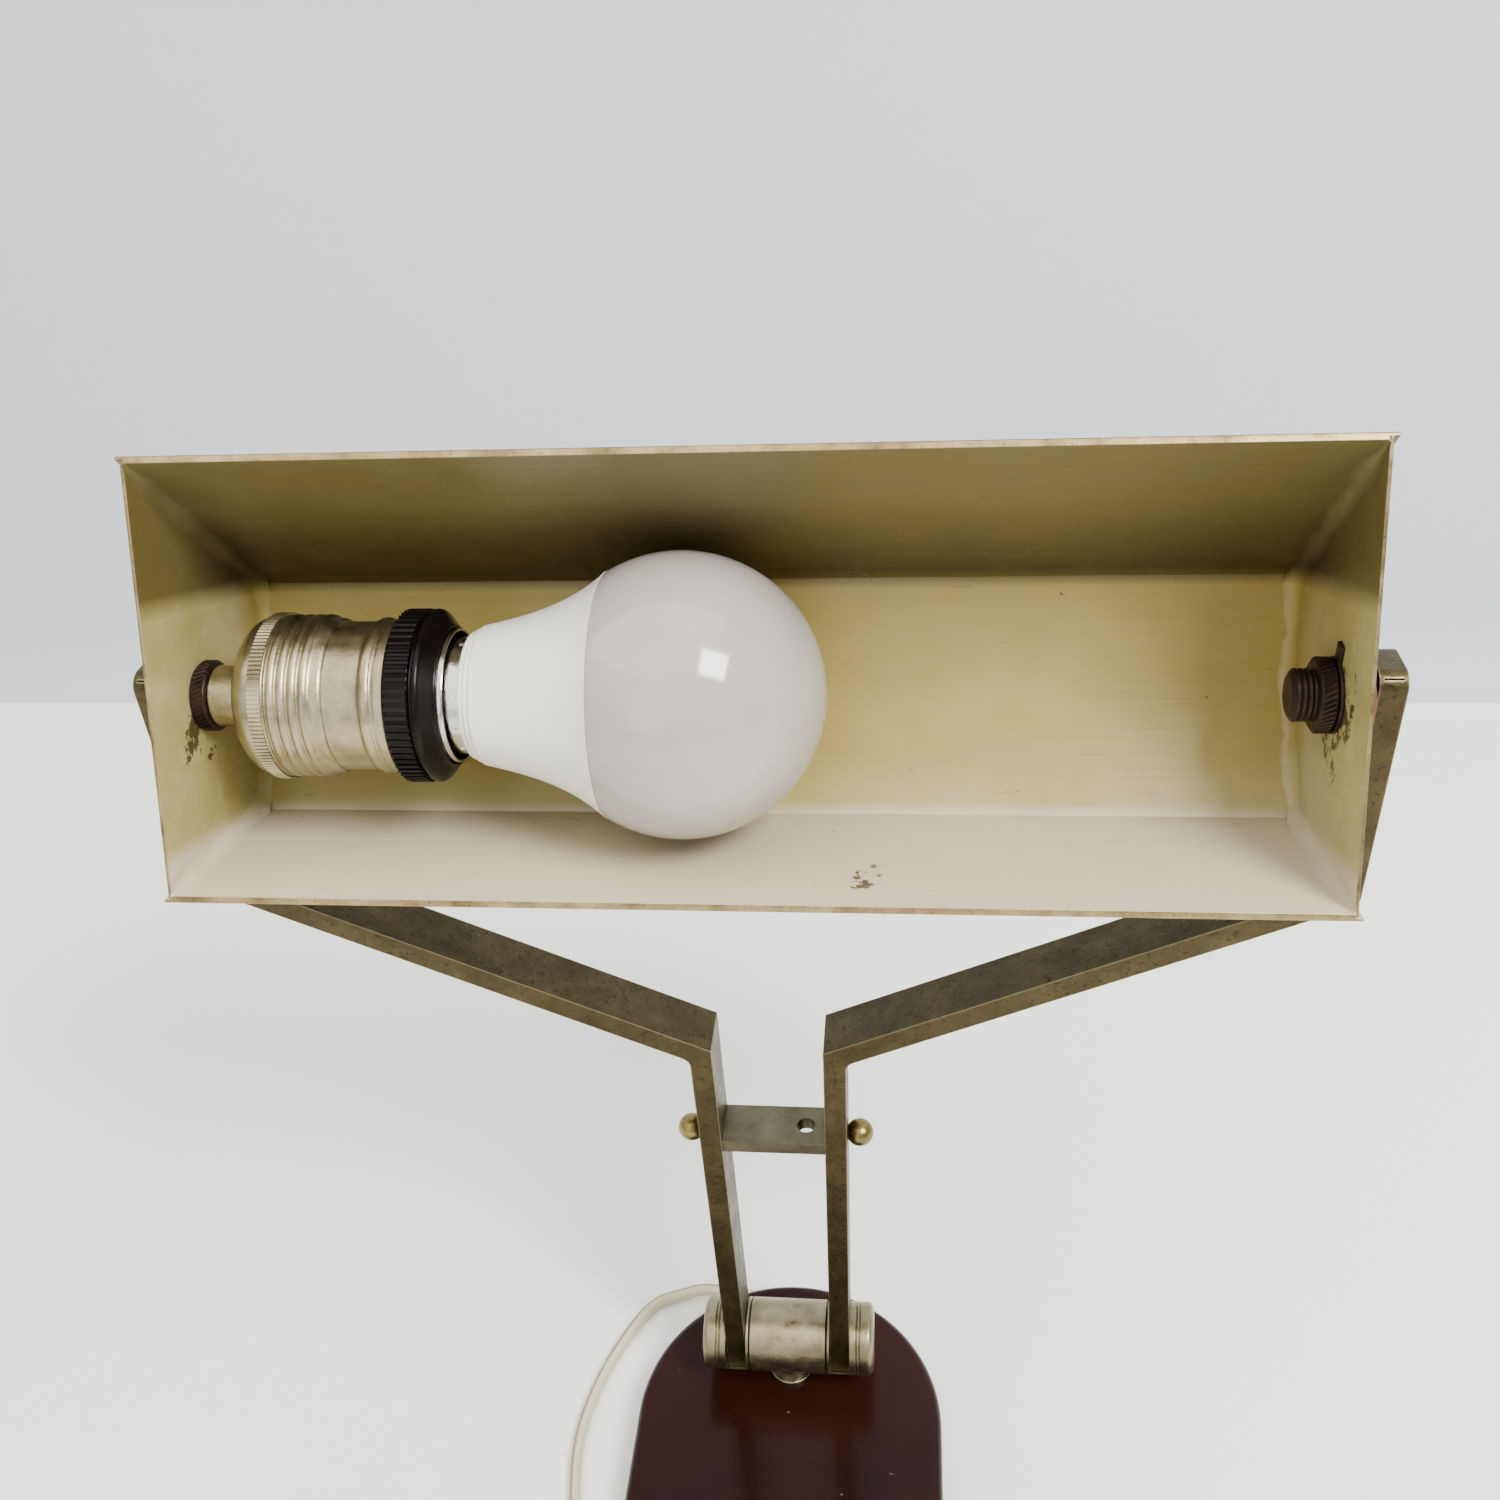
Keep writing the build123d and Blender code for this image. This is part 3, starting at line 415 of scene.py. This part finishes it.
def coilPoints():
    # clockwise turns side by side, layer on layer, each a diameter from the next
    count, width, perTurn = flex["columns"], flex["diameter"], flex["pointsPerTurn"]
    whole = count * flex["layers"]
    tighten = 0.75 + 0.25 * cos(2 * pi / perTurn)
    stations = []
    for turn in range(whole + 2):
        layer, column = divmod(min(turn, whole - 1), count)
        column = column if layer % 2 == 0 else count - 1 - column
        stations.append((flex["coilRadius"] + (1 - column) * width, (layer + 0.5) * width))
    points = []
    for step in range(1, int((whole + flex["lastTurn"]) * perTurn)):
        turn, part = divmod(step, perTurn)
        here, after = stations[turn], stations[turn + 1]
        blend = max(0.0, (part / perTurn - 0.65) / 0.35)
        radius = (here[0] + (after[0] - here[0]) * blend) / tighten
        angle = -2 * pi * step / perTurn
        points.append((flex["coilPlace"][0] + radius * cos(angle), flex["coilPlace"][1] + radius * sin(angle),
                       here[1] + (after[1] - here[1]) * blend))
    return points


def makeFlex():
    points = [tuple(v * mm for v in p) for p in flexToCoil] + coilPoints()
    points += [tuple(v * mm for v in p) for p in flexToPlug]
    data = bpy.data.curves.new("mainsFlex", "CURVE")
    data.dimensions = "3D"
    spline = data.splines.new("NURBS")
    spline.points.add(len(points) - 1)
    for point, place in zip(spline.points, points):
        point.co = (*place, 1)
    spline.order_u = 3
    spline.use_endpoint_u = True
    data.resolution_u = 6
    data.bevel_depth = flex["diameter"] / 2
    data.bevel_resolution = 5
    data.use_fill_caps = True
    data.materials.append(flexVinyl)
    cord = bpy.data.objects.new("mains_flex", data)
    scene.collection.objects.link(cord)
    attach(cord, "base")
    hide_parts("cord_tube", "cord_coil", "cord_tail")


def rounded(corners, steps=5, closed=False):
    # (along, out, softening) corners to a profile in which each corner is a short curve
    profile = []
    for index, (x, y, soft) in enumerate(corners):
        if not soft or (not closed and index in (0, len(corners) - 1)):
            profile.append((x, y))
            continue
        here = Vector((x, y))
        before = Vector(corners[index - 1][:2]) - here
        after = Vector(corners[(index + 1) % len(corners)][:2]) - here
        start = here + before.normalized() * min(soft, before.length * 0.49)
        end = here + after.normalized() * min(soft, after.length * 0.49)
        for step in range(steps + 1):
            t = step / steps
            profile.append(tuple(start * (1 - t) ** 2 + here * 2 * t * (1 - t) + end * t ** 2))
    return profile


def turn(bm, corners, origin, direction, closed=True, sides=96, steps=5):
    # a profile in millimetres swept once round its axis; an open one has to start and end on the axis
    profile = rounded(corners, steps, closed)
    along = Vector(direction).normalized()
    side = along.orthogonal().normalized()
    up = along.cross(side)
    rings = []
    for distance, out in profile:
        centre = Vector(origin) + along * distance * mm
        if out < 1e-6:
            rings.append([bm.verts.new(centre)] * sides)
            continue
        angles = (2 * pi * i / sides for i in range(sides))
        rings.append([bm.verts.new(centre + (side * cos(a) + up * sin(a)) * out * mm) for a in angles])
    pairs = list(zip(rings, rings[1:])) + ([(rings[-1], rings[0])] if closed else [])
    for first, second in pairs:
        for i in range(sides):
            j = (i + 1) % sides
            loop = []
            for vert in (first[i], first[j], second[j], second[i]):
                if vert not in loop:
                    loop.append(vert)
            if len(loop) > 2:
                bm.faces.new(loop)


def makeRidgeTree():
    # ridges standing round a ring, such as a knurl, milled ribs or crimps
    tree = bpy.data.node_groups.new("ridgesRoundARing", "GeometryNodeTree")
    tree.is_modifier = True
    for name, kind in (("Ridges", "Int"), ("Ring Radius", "Float"), ("Ridge Radius", "Float"),
                       ("Ridge Length", "Float"), ("Slant", "Vector"), ("Ring Turn", "Vector"),
                       ("Ring Place", "Vector"), ("Finish", "Material")):
        tree.interface.new_socket(name=name, in_out="INPUT", socket_type="NodeSocket" + kind)
    tree.interface.new_socket(name="Ridges Made", in_out="OUTPUT", socket_type="NodeSocketGeometry")
    sizes = addNode(tree, "NodeGroupInput").outputs
    ring = addNode(tree, "GeometryNodeMeshCircle", {"Vertices": sizes["Ridges"], "Radius": sizes["Ring Radius"]})
    ridge = addNode(tree, "GeometryNodeMeshCylinder", {
        "Vertices": 6, "Radius": sizes["Ridge Radius"], "Depth": sizes["Ridge Length"]})
    outward = addNode(tree, "GeometryNodeInputPosition")
    turned = addNode(tree, "FunctionNodeAlignRotationToVector", {"Vector": outward}, axis="X", pivot_axis="Z")
    slanted = addNode(tree, "FunctionNodeRotateRotation", {
        "Rotation": turned, "Rotate By": sizes["Slant"]}, rotation_space="LOCAL")
    stood = addNode(tree, "GeometryNodeInstanceOnPoints", {
        "Points": ring, "Instance": ridge.outputs["Mesh"], "Rotation": slanted})
    whole = addNode(tree, "GeometryNodeRealizeInstances", {"Geometry": stood})
    placed = addNode(tree, "GeometryNodeTransform", {
        "Geometry": whole, "Rotation": sizes["Ring Turn"], "Translation": sizes["Ring Place"]})
    dressed = addNode(tree, "GeometryNodeSetMaterial", {"Geometry": placed, "Material": sizes["Finish"]})
    addNode(tree, "NodeGroupOutput", {0: dressed})
    return tree


ridgeTree = makeRidgeTree()


def addRidges(bm, count, ringRadius, ridgeRadius, length, place, slant=0.0):
    # a ring of ridges round an axis along X, added to a piece; sizes in millimetres
    carrier = bpy.data.objects.new("ridgeCarrier", bpy.data.meshes.new("ridgeCarrier"))
    scene.collection.objects.link(carrier)
    modifier = carrier.modifiers.new("ridges", "NODES")
    modifier.node_group = ridgeTree
    wanted = {"Ridges": count, "Ring Radius": ringRadius * mm, "Ridge Radius": ridgeRadius * mm,
              "Ridge Length": length * mm, "Slant": (radians(slant), 0.0, 0.0),
              "Ring Turn": (0.0, pi / 2, 0.0), "Ring Place": tuple(place), "Finish": holderNickel}
    for item in ridgeTree.interface.items_tree:
        if item.in_out == "INPUT":
            modifier[item.identifier] = wanted[item.name]
    seen = carrier.evaluated_get(bpy.context.evaluated_depsgraph_get())
    plain = bpy.data.meshes.new_from_object(seen)
    for polygon in plain.polygons:
        polygon.material_index = 0
    bm.from_mesh(plain)
    carrier.modifiers.clear()
    bpy.data.objects.remove(carrier)


def finishPiece(name, bm, finish, *nodes, smooth=38):
    # the made shape stands for its CAD nodes, on their body; finish is one or a list
    bmesh.ops.recalc_face_normals(bm, faces=bm.faces)
    mesh = bpy.data.meshes.new(name)
    bm.to_mesh(mesh)
    bm.free()
    for one in finish if isinstance(finish, list) else [finish]:
        mesh.materials.append(one)
    mesh.shade_smooth()
    mesh.set_sharp_from_angle(angle=radians(smooth))
    piece = bpy.data.objects.new(name, mesh)
    scene.collection.objects.link(piece)
    piece.modifiers.new("evenNormals", "WEIGHTED_NORMAL").keep_sharp = True
    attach(piece, cadNodes[nodes[0]]["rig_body"])
    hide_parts(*nodes)
    return piece


def softCopy(node, edge, steps=2, sharp=30):
    # the CAD piece with its loose triangles joined and its edges eased by edge millimetres
    bm = bmesh.new()
    bm.from_mesh(cadNodes[node].data)
    bmesh.ops.remove_doubles(bm, verts=bm.verts, dist=2e-6)
    bmesh.ops.dissolve_limit(bm, angle_limit=radians(0.4), verts=bm.verts, edges=bm.edges)
    turning = [e for e in bm.edges if e.is_manifold and e.calc_face_angle() > radians(sharp)]
    bmesh.ops.bevel(bm, geom=turning, offset=edge * mm, segments=steps, profile=0.5, affect="EDGES",
                    clamp_overlap=True)
    return bm


easedEdges = {  # millimetres
    "base_casting": 0.5, "base_cover": 0.3, "arm_left": 0.6, "arm_right": 0.6, "crossbar": 0.45,
    "swivel_post": 0.3, "post_washer": 0.25, "lug_washer": 0.15, "cord_tie": 0.25, "plug_body": 1.4,
    "plug_pins": 0.6, "pivot_spacers": 0.4, "barrel_centre": 0.35,
}
for nodeName, edge in easedEdges.items():
    finishPiece("eased_" + nodeName, softCopy(nodeName, edge), cadNodes[nodeName].data.materials[0], nodeName)
print("eased pieces made")

makeFlex()
print("flex laid and coiled")


def makeShade():
    # folded sheet, enamelled cream inside and burgundy outside, its cut edges rubbed to the metal
    mouth = (shadePoint(0, 0, 1) - shadePoint(0, 0, 0)).normalized()
    axis = Vector((0, pivotY, pivotZ))
    cream, burgundy, metal = range(3)
    for node in ("shade_trough", "end_plate_left", "end_plate_right"):
        bm = softCopy(node, 0.22)
        bm.normal_update()
        for face in bm.faces:
            middle = face.calc_center_median()
            inward = Vector((-middle.x, 0, 0))
            if node == "shade_trough":
                inward = Vector((0, *(axis - middle)[1:]))
            if face.normal.dot(mouth) > 0.8 and (middle - axis).dot(mouth) > 0.02:
                face.material_index = metal
            elif face.normal.dot(inward.normalized()) > 0.15:
                face.material_index = cream
            else:
                face.material_index = burgundy
        finishPiece("enamelled_" + node, bm, [creamInside, shadeEnamel, rimBrass], node)


def makeSeams():
    # solder wiped into the corners and painted over: a hollow fillet, a little uneven
    bm = bmesh.new()
    section, arc = shadeSizes["section"], 6
    for side in (-1, 1):
        stations = []
        for index, ((up0, out0), (up1, out1)) in enumerate(zip(section, section[1:])):
            length = sqrt((up1 - up0) ** 2 + (out1 - out0) ** 2)
            normal = Vector((-(out1 - out0), up1 - up0)) / length
            count = max(4, round(length / 2.5))
            for step in range(0 if index == 0 else 1, count if index < 3 else count + 1):
                t = step / count
                stations.append((up0 + (up1 - up0) * t, out0 + (out1 - out0) * t, normal))
        loops = []
        for index, (up, out, normal) in enumerate(stations):
            near = [stations[min(max(index + i, 0), len(stations) - 1)][2] for i in (-1, 0, 1)]
            inward = (near[0] + near[1] + near[2]).normalized()
            size = shadeSizes["seam"] * (1 + 0.2 * sin(index * 0.9 + side) + 0.12 * sin(index * 2.3))
            size *= min(1.0, 0.25 + index / 5, 0.25 + (len(stations) - 1 - index) / 5)
            loop = [(-0.3, -0.3)]
            for step in range(arc + 1):
                turned = pi / 2 * step / arc
                loop.append((size * (1 - sin(turned)), size * (1 - cos(turned))))
            corner = []
            for along, high in loop:
                x = side * (shadeSizes["halfLength"] - along)
                corner.append(bm.verts.new(shadePoint(x, up + inward.x * high, out + inward.y * high)))
            loops.append(corner)
        for first, second in zip(loops, loops[1:]):
            for i in range(len(first)):
                j = (i + 1) % len(first)
                bm.faces.new((first[i], first[j], second[j], second[i]))
        bm.faces.new(loops[0])
        bm.faces.new(loops[-1])
    bmesh.ops.recalc_face_normals(bm, faces=bm.faces)
    mesh = bpy.data.meshes.new("painted_solder_seams")
    bm.to_mesh(mesh)
    bm.free()
    mesh.materials.append(seamCream)
    mesh.shade_smooth()
    mesh.set_sharp_from_angle(angle=radians(60))
    seams = bpy.data.objects.new("painted_solder_seams", mesh)
    scene.collection.objects.link(seams)
    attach(seams, "shade")


makeShade()
makeSeams()
print("shade made")

holder = {  # millimetres from the lampholder's back face towards the bulb
    "bore": 4.45, "collar": 6.6, "domeStart": 7.4, "rimStart": 13.9, "knurls": 120,
    "skirtEnd": 28.9, "ribPitch": 2.3, "shell": 15.8, "wall": 0.8, "bead": 36.5, "shellEnd": 45.0,
    "ringStart": 42.0, "ringEnd": 52.6, "ring": 18.6, "ribs": 64, "ribLength": 4.8, "throat": 14.35,
}


def makeLampholder():
    # spun nickelled shell: domed back, fine-knurled rim, rolled skirt, a bead, and a ribbed bakelite ring
    low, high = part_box("holder_cap")
    origin, ahead = Vector((low[0], pivotY, pivotZ)), Vector((1, 0, 0))
    size = holder
    rim = size["rimStart"]
    skirt = [(0, size["bore"], 0), (0, size["collar"], 0.5), (size["domeStart"] - 0.3, size["collar"], 0.4)]
    for step in range(13):
        turned = pi / 2 * step / 12
        depth = rim - 0.2 - size["domeStart"]
        skirt.append((rim - 0.2 - depth * cos(turned), 7.3 + 9.7 * sin(turned), 0))
    skirt += [(rim - 0.1, 17.3, 0.2), (rim + 3.1, 17.3, 0.3)]
    start = rim + 3.5
    for rib in range(4):
        at = start + size["ribPitch"] * rib
        skirt += [(at, 16.5, 0.4), (at + 0.6, 17.35, 0.6), (at + 1.6, 17.35, 0.6)]
    skirt += [(start + 4 * size["ribPitch"], 16.6, 0.5), (size["skirtEnd"] - 0.4, 16.5, 0.5),
              (size["skirtEnd"] + 0.3, 15.85, 0.4), (size["skirtEnd"], 15.0, 0), (rim + 1.0, 15.0, 1.0),
              (size["domeStart"] + 2.5, 8.0, 0.5), (size["domeStart"] + 2.5, size["bore"], 0)]
    bm = bmesh.new()
    turn(bm, skirt, origin, ahead, sides=128)
    addRidges(bm, size["knurls"], 17.35, 0.42, 2.8, origin + ahead * (rim + 1.55) * mm)
    finishPiece("spun_holder_cap", bm, holderNickel, "holder_cap", "knurled_ring")
    shell, bead = size["shell"], size["bead"]
    inner = shell - size["wall"]
    begin = size["skirtEnd"] - 4.0
    body = [(begin, inner, 0), (begin, shell, 0.2), (bead, shell, 0.5), (bead + 0.8, shell + 0.8, 0.7),
            (bead + 2.1, shell + 0.8, 0.7), (bead + 2.8, shell + 0.1, 0.4), (bead + 3.6, shell + 0.4, 0.4),
            (size["shellEnd"], shell + 0.05, 0.2), (size["shellEnd"], inner, 0)]
    bm = bmesh.new()
    turn(bm, body, origin, ahead, sides=128)
    finishPiece("spun_holder_shell", bm, holderNickel, "holder_shell")
    ring, throat, back = size["ring"], size["throat"], size["ringStart"]
    profile = [(back, shell + 0.15, 0), (back, ring - 1.3, 0.8), (back + 0.9, ring - 0.75, 0.4),
               (back + 5.6, ring - 0.75, 0.3), (back + 5.8, ring - 1.5, 0.2), (back + 6.4, ring - 1.5, 0.2),
               (back + 6.7, ring - 0.2, 0.6), (back + 7.7, ring - 0.3, 0.8), (size["ringEnd"] - 0.5, ring - 3.5, 0.8),
               (size["ringEnd"], throat + 0.6, 0.3), (size["ringEnd"], throat, 0.2),
               (size["shellEnd"], throat, 0), (size["shellEnd"], shell + 0.15, 0)]
    bm = bmesh.new()
    turn(bm, profile, origin, ahead, sides=128)
    addRidges(bm, size["ribs"], ring - 0.72, 0.5, size["ribLength"], origin + ahead * (back + 3.2) * mm)
    finishPiece("ribbed_bakelite_ring", bm, blackBakelite, "bakelite_ring")
    low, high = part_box("screw_shell")
    outer, length = (high[1] - low[1]) / 2 / mm, (high[0] - low[0]) / mm
    thread = [(0, outer - 1.6, 0), (0, outer - 0.5, 0)]
    for crest in range(6):
        thread += [(2.0 + crest * 3.6, outer - 0.9, 0.9), (3.8 + crest * 3.6, outer, 0.9)]
    thread += [(length, outer - 0.1, 0.5), (length + 2.1, outer - 0.1, 0.5), (length + 2.1, outer - 0.7, 0.3)]
    for crest in range(5, -1, -1):
        thread += [(3.8 + crest * 3.6, outer - 0.5, 0.9), (2.0 + crest * 3.6, outer - 1.4, 0.9)]
    bm = bmesh.new()
    turn(bm, thread, (low[0], pivotY, pivotZ), ahead, steps=3)
    finishPiece("rolled_screw_shell", bm, capNickel, "screw_shell")


makeLampholder()
print("lampholder made")

bulb = {  # millimetres from the neck's face
    "capRadius": 12.9, "capLength": 24.0, "threads": 4, "pitch": 3.6, "crimps": 12,
    "neck": 15.0, "neckFace": 1.5, "seam": 30.7, "centre": 45.7, "radius": 30.0, "wall": 1.2,
}


def makeBulb():
    # LED bulb: nickelled cap crimped to a flared white body, and a frosted globe
    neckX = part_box("bulb_cap")[1][0]
    origin, ahead = Vector((neckX, pivotY, pivotZ)), Vector((1, 0, 0))
    size = bulb
    back, radius = -size["capLength"], size["capRadius"]
    cap = [(back, radius - 3.4, 0), (back, radius - 2.6, 0.6)]
    for crest in range(size["threads"]):
        at = back + 2.4 + crest * size["pitch"]
        cap += [(at, radius - 1.2, 0.9), (at + size["pitch"] / 2, radius, 1.0)]
    cap += [(-6.6, radius - 1.1, 0.8), (-5.8, radius - 0.5, 0.5), (1.6, radius - 0.5, 0.2), (1.6, radius - 3.4, 0)]
    bm = bmesh.new()
    turn(bm, cap, origin, ahead)
    addRidges(bm, size["crimps"], radius - 0.6, 0.45, 0.8, origin + ahead * 0.5 * mm)
    finishPiece("threaded_bulb_cap", bm, capNickel, "bulb_cap")
    seamRadius = sqrt(size["radius"] ** 2 - (size["centre"] - size["seam"]) ** 2)
    face, neck = size["neckFace"], size["neck"]
    body = [(face, 0, 0), (face, neck - 1.6, 0.3), (face + 0.8, neck - 1.3, 0.3), (face + 0.9, neck - 1.7, 0.1),
            (face + 1.2, neck - 1.7, 0.1), (face + 1.3, neck - 0.9, 0.2), (face + 2.1, neck - 0.7, 0.2),
            (face + 2.2, neck - 1.0, 0.1), (face + 2.4, neck - 1.0, 0.1), (face + 2.6, neck - 0.2, 0.2)]
    ends = ((face + 2.6, neck - 0.2), (12.5, neck + 1.6), (22.5, neck + 4.0),
            (size["seam"] - 0.25, seamRadius - 0.05))
    for step in range(1, 25):
        t = step / 24
        shares = ((1 - t) ** 3, 3 * t * (1 - t) ** 2, 3 * t * t * (1 - t), t ** 3)
        body.append((sum(s * e[0] for s, e in zip(shares, ends)), sum(s * e[1] for s, e in zip(shares, ends)), 0))
    body += [(size["seam"] - 0.05, seamRadius - 0.5, 0.1), (size["seam"] - 0.05, 0, 0)]
    bm = bmesh.new()
    turn(bm, body, origin, ahead, closed=False, sides=128)
    finishPiece("flared_bulb_body", bm, bulbPlastic, "bulb_body", smooth=50)
    globe, steps = [], 44
    opening = acos((size["seam"] - size["centre"]) / size["radius"])
    for out in (size["radius"], size["radius"] - size["wall"]):
        arc = [(size["centre"] + out * cos(opening * (1 - i / steps)), out * sin(opening * (1 - i / steps)), 0)
               for i in range(steps + 1)]
        globe += arc[::-1] if globe else arc
    bm = bmesh.new()
    turn(bm, globe, origin, ahead, closed=True, sides=128)
    bmesh.ops.remove_doubles(bm, verts=bm.verts, dist=1e-7)
    finishPiece("frosted_globe", bm, frostedGlobe, "bulb_globe", smooth=60)


makeBulb()
print("bulb made")

fibre = {"thickness": 0.6, "clear": 0.15}  # millimetres
pivotSizes = {"knurls": 44, "nut": 7.75, "stub": 5.4, "stubLength": 4.6}


def makePivotNuts():
    # blackened nuts with a slanting knurl; the right one locks a threaded stub
    for side, node in ((-1, "nut_left"), (1, "nut_right")):
        low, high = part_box(node)
        length = (high[0] - low[0]) / mm
        origin = Vector((low[0] if side > 0 else high[0], pivotY, pivotZ))
        nut = pivotSizes["nut"]
        bm = bmesh.new()
        turn(bm, [(0, 4.45, 0.3), (0, nut - 0.9, 0.5), (0.5, nut - 0.4, 0.2), (length - 0.3, nut - 0.4, 0.2),
                  (length, nut - 0.8, 0), (length, 4.45, 0)], origin, (side, 0, 0))
        middle = origin + Vector((side, 0, 0)) * length / 2 * mm
        addRidges(bm, pivotSizes["knurls"], nut - 0.5, 0.42, length - 1.0, middle, slant=24)
        finishPiece("knurled_" + node, bm, blackenedSteel, node)
    low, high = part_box("stud_right")
    length = (high[0] - low[0]) / mm
    stub, front = pivotSizes["stub"], pivotSizes["stubLength"]
    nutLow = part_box("nut_right")[0][0]
    face = (nutLow - low[0]) / mm
    profile = [(face - front, 0, 0), (face - front, stub - 1.3, 0.6)]
    for ring in range(3):
        at = face - front + 0.9 + ring * 1.15
        profile += [(at, stub, 0.25), (at + 0.6, stub, 0.25), (at + 0.85, stub - 0.5, 0.2)]
    profile += [(face, stub - 0.4, 0), (face, 4.4, 0), (length, 4.4, 0.5), (length, 0, 0)]
    bm = bmesh.new()
    turn(bm, profile, (low[0], pivotY, pivotZ), (1, 0, 0), closed=False, steps=3)
    finishPiece("threaded_stud", bm, blackenedSteel, "stud_right")


def makeFibreWashers():
    # fibre rings between the spacers and the arms, a hair thinner than their gap so that the arms turn freely
    low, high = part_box("fibre_washers")
    outer, thickness = (high[1] - low[1]) / 2 / mm, fibre["thickness"]
    bm = bmesh.new()
    for side in (-1, 1):
        face = Vector((side * (high[0] - (thickness + fibre["clear"]) * mm), pivotY, pivotZ))
        turn(bm, [(0, 4.45, 0), (0, outer - 0.05, 0.15), (thickness, outer - 0.05, 0.15), (thickness, 4.45, 0)],
             face, (side, 0, 0), sides=64, steps=3)
    finishPiece("fibre_rings", bm, vulcanFibre, "fibre_washers")


ballScrews = {"neck": 2.1, "shank": 1.3, "shankLength": 7.7}  # millimetres


def makeBallScrews():
    # turned brass balls on short necks, with their threaded shanks in the arms
    low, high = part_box("ball_screws")
    radius = (high[1] - low[1]) / 2 / mm
    height = (low[2] + high[2]) / 2
    bm = bmesh.new()
    for side in (-1, 1):
        tip = Vector((side * high[0], hingeY, height))
        ball = [(0, 0, 0)]
        ball += [(radius - radius * cos(pi * i / 24), radius * sin(pi * i / 24), 0) for i in range(1, 21)]
        foot = 2 * radius + 0.3
        neck, shank, end = ballScrews["neck"], ballScrews["shank"], foot + ballScrews["shankLength"]
        ball += [(foot - 0.55, neck, 0.1), (foot, neck, 0), (foot, shank, 0), (end, shank, 0), (end, 0, 0)]
        turn(bm, ball, tip, (-side, 0, 0), closed=False, sides=48)
    finishPiece("ball_head_screws", bm, tarnishedBrass, "ball_screws")


barrelEnds = {  # millimetres; grooves from the outer end, slot from the middle of the lamp
    "grooves": (4.9, 4.0), "grooveDepth": 0.35, "edge": 3.4, "slotInside": 11.90, "slotOutside": 17.75,
}


def makeBarrelEnds():
    # turned ends with two fine grooves by the rounded edge, slotted through for the arms' feet
    for side, node, arm in ((-1, "barrel_end_left", "arm_left"), (1, "barrel_end_right", "arm_right")):
        low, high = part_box(node)
        inner = low[0] if side > 0 else high[0]
        length = (high[0] - low[0]) / mm
        radius = (high[2] - low[2]) / 2 / mm
        bm = bmesh.new()
        profile = [(0, 0, 0), (0, radius - 0.3, 0), (0.3, radius, 0.2)]
        for setback in barrelEnds["grooves"]:
            groove, floor = length - setback, radius - barrelEnds["grooveDepth"]
            profile += [(groove - 0.3, radius, 0.1), (groove, floor, 0.1), (groove + 0.3, radius, 0.1)]
        profile += [(length, radius, barrelEnds["edge"]), (length, 0, 0)]
        turn(bm, profile, (inner, hingeY, hingeZ), (side, 0, 0), closed=False, sides=128, steps=10)
        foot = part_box(arm)[0][2]
        bar = bmesh.new()
        walls = [side * barrelEnds[key] * mm for key in ("slotInside", "slotOutside")]
        slot = [(x, y, z) for x in walls for y in (-0.012, 0.012) for z in (foot - 0.0003, hingeZ + 0.02)]
        verts = [bar.verts.new((x, hingeY + y, z)) for x, y, z in slot]
        bmesh.ops.convex_hull(bar, input=verts)
        solids = []
        for name, one in (("turnedEnd", bm), ("slotCutter", bar)):
            bmesh.ops.recalc_face_normals(one, faces=one.faces)
            mesh = bpy.data.meshes.new(name)
            one.to_mesh(mesh)
            one.free()
            solids.append(bpy.data.objects.new(name, mesh))
            scene.collection.objects.link(solids[-1])
        cut = solids[0].modifiers.new("slot", "BOOLEAN")
        cut.operation, cut.solver, cut.object = "DIFFERENCE", "EXACT", solids[1]
        seen = solids[0].evaluated_get(bpy.context.evaluated_depsgraph_get())
        bm = bmesh.new()
        bm.from_mesh(bpy.data.meshes.new_from_object(seen))
        for one in solids:
            bpy.data.objects.remove(one)
        finishPiece("slotted_" + node, bm, hingeNickel, node)


bushing = {"length": 12.0, "seat": 9.0, "bore": 1.9, "root": 2.95, "rings": 5, "pitch": 2.1}  # millimetres


def makeBushing():
    # moulded strain relief with rings, following the flex out of the base
    ahead = Vector((-0.955, 0.27, -0.06)).normalized()
    length, seat, bore, rootSize = (bushing[key] for key in ("length", "seat", "bore", "root"))
    root = (Vector(flexToCoil[0]) - ahead * length) * mm
    profile = [(-seat, bore, 0), (-seat, rootSize, 0), (0, rootSize, 0), (0.2, rootSize + 0.03, 0.1)]
    for ring in range(bushing["rings"]):
        at, out = 1.2 + ring * bushing["pitch"], 2.9 - ring * 0.12
        profile += [(at, out, 0.2), (at + 0.4, out - 0.45, 0.2), (at + 1.0, out - 0.45, 0.2),
                    (at + 1.4, out - 0.1, 0.2)]
    profile += [(length, 2.3, 0.3), (length, bore, 0)]
    bm = bmesh.new()
    turn(bm, profile, root, ahead, sides=48, steps=3)
    finishPiece("ringed_cord_bushing", bm, creamPlug, "cord_bushing")


makePivotNuts()
makeFibreWashers()
makeBallScrews()
makeBarrelEnds()
makeBushing()
print("turned parts made")
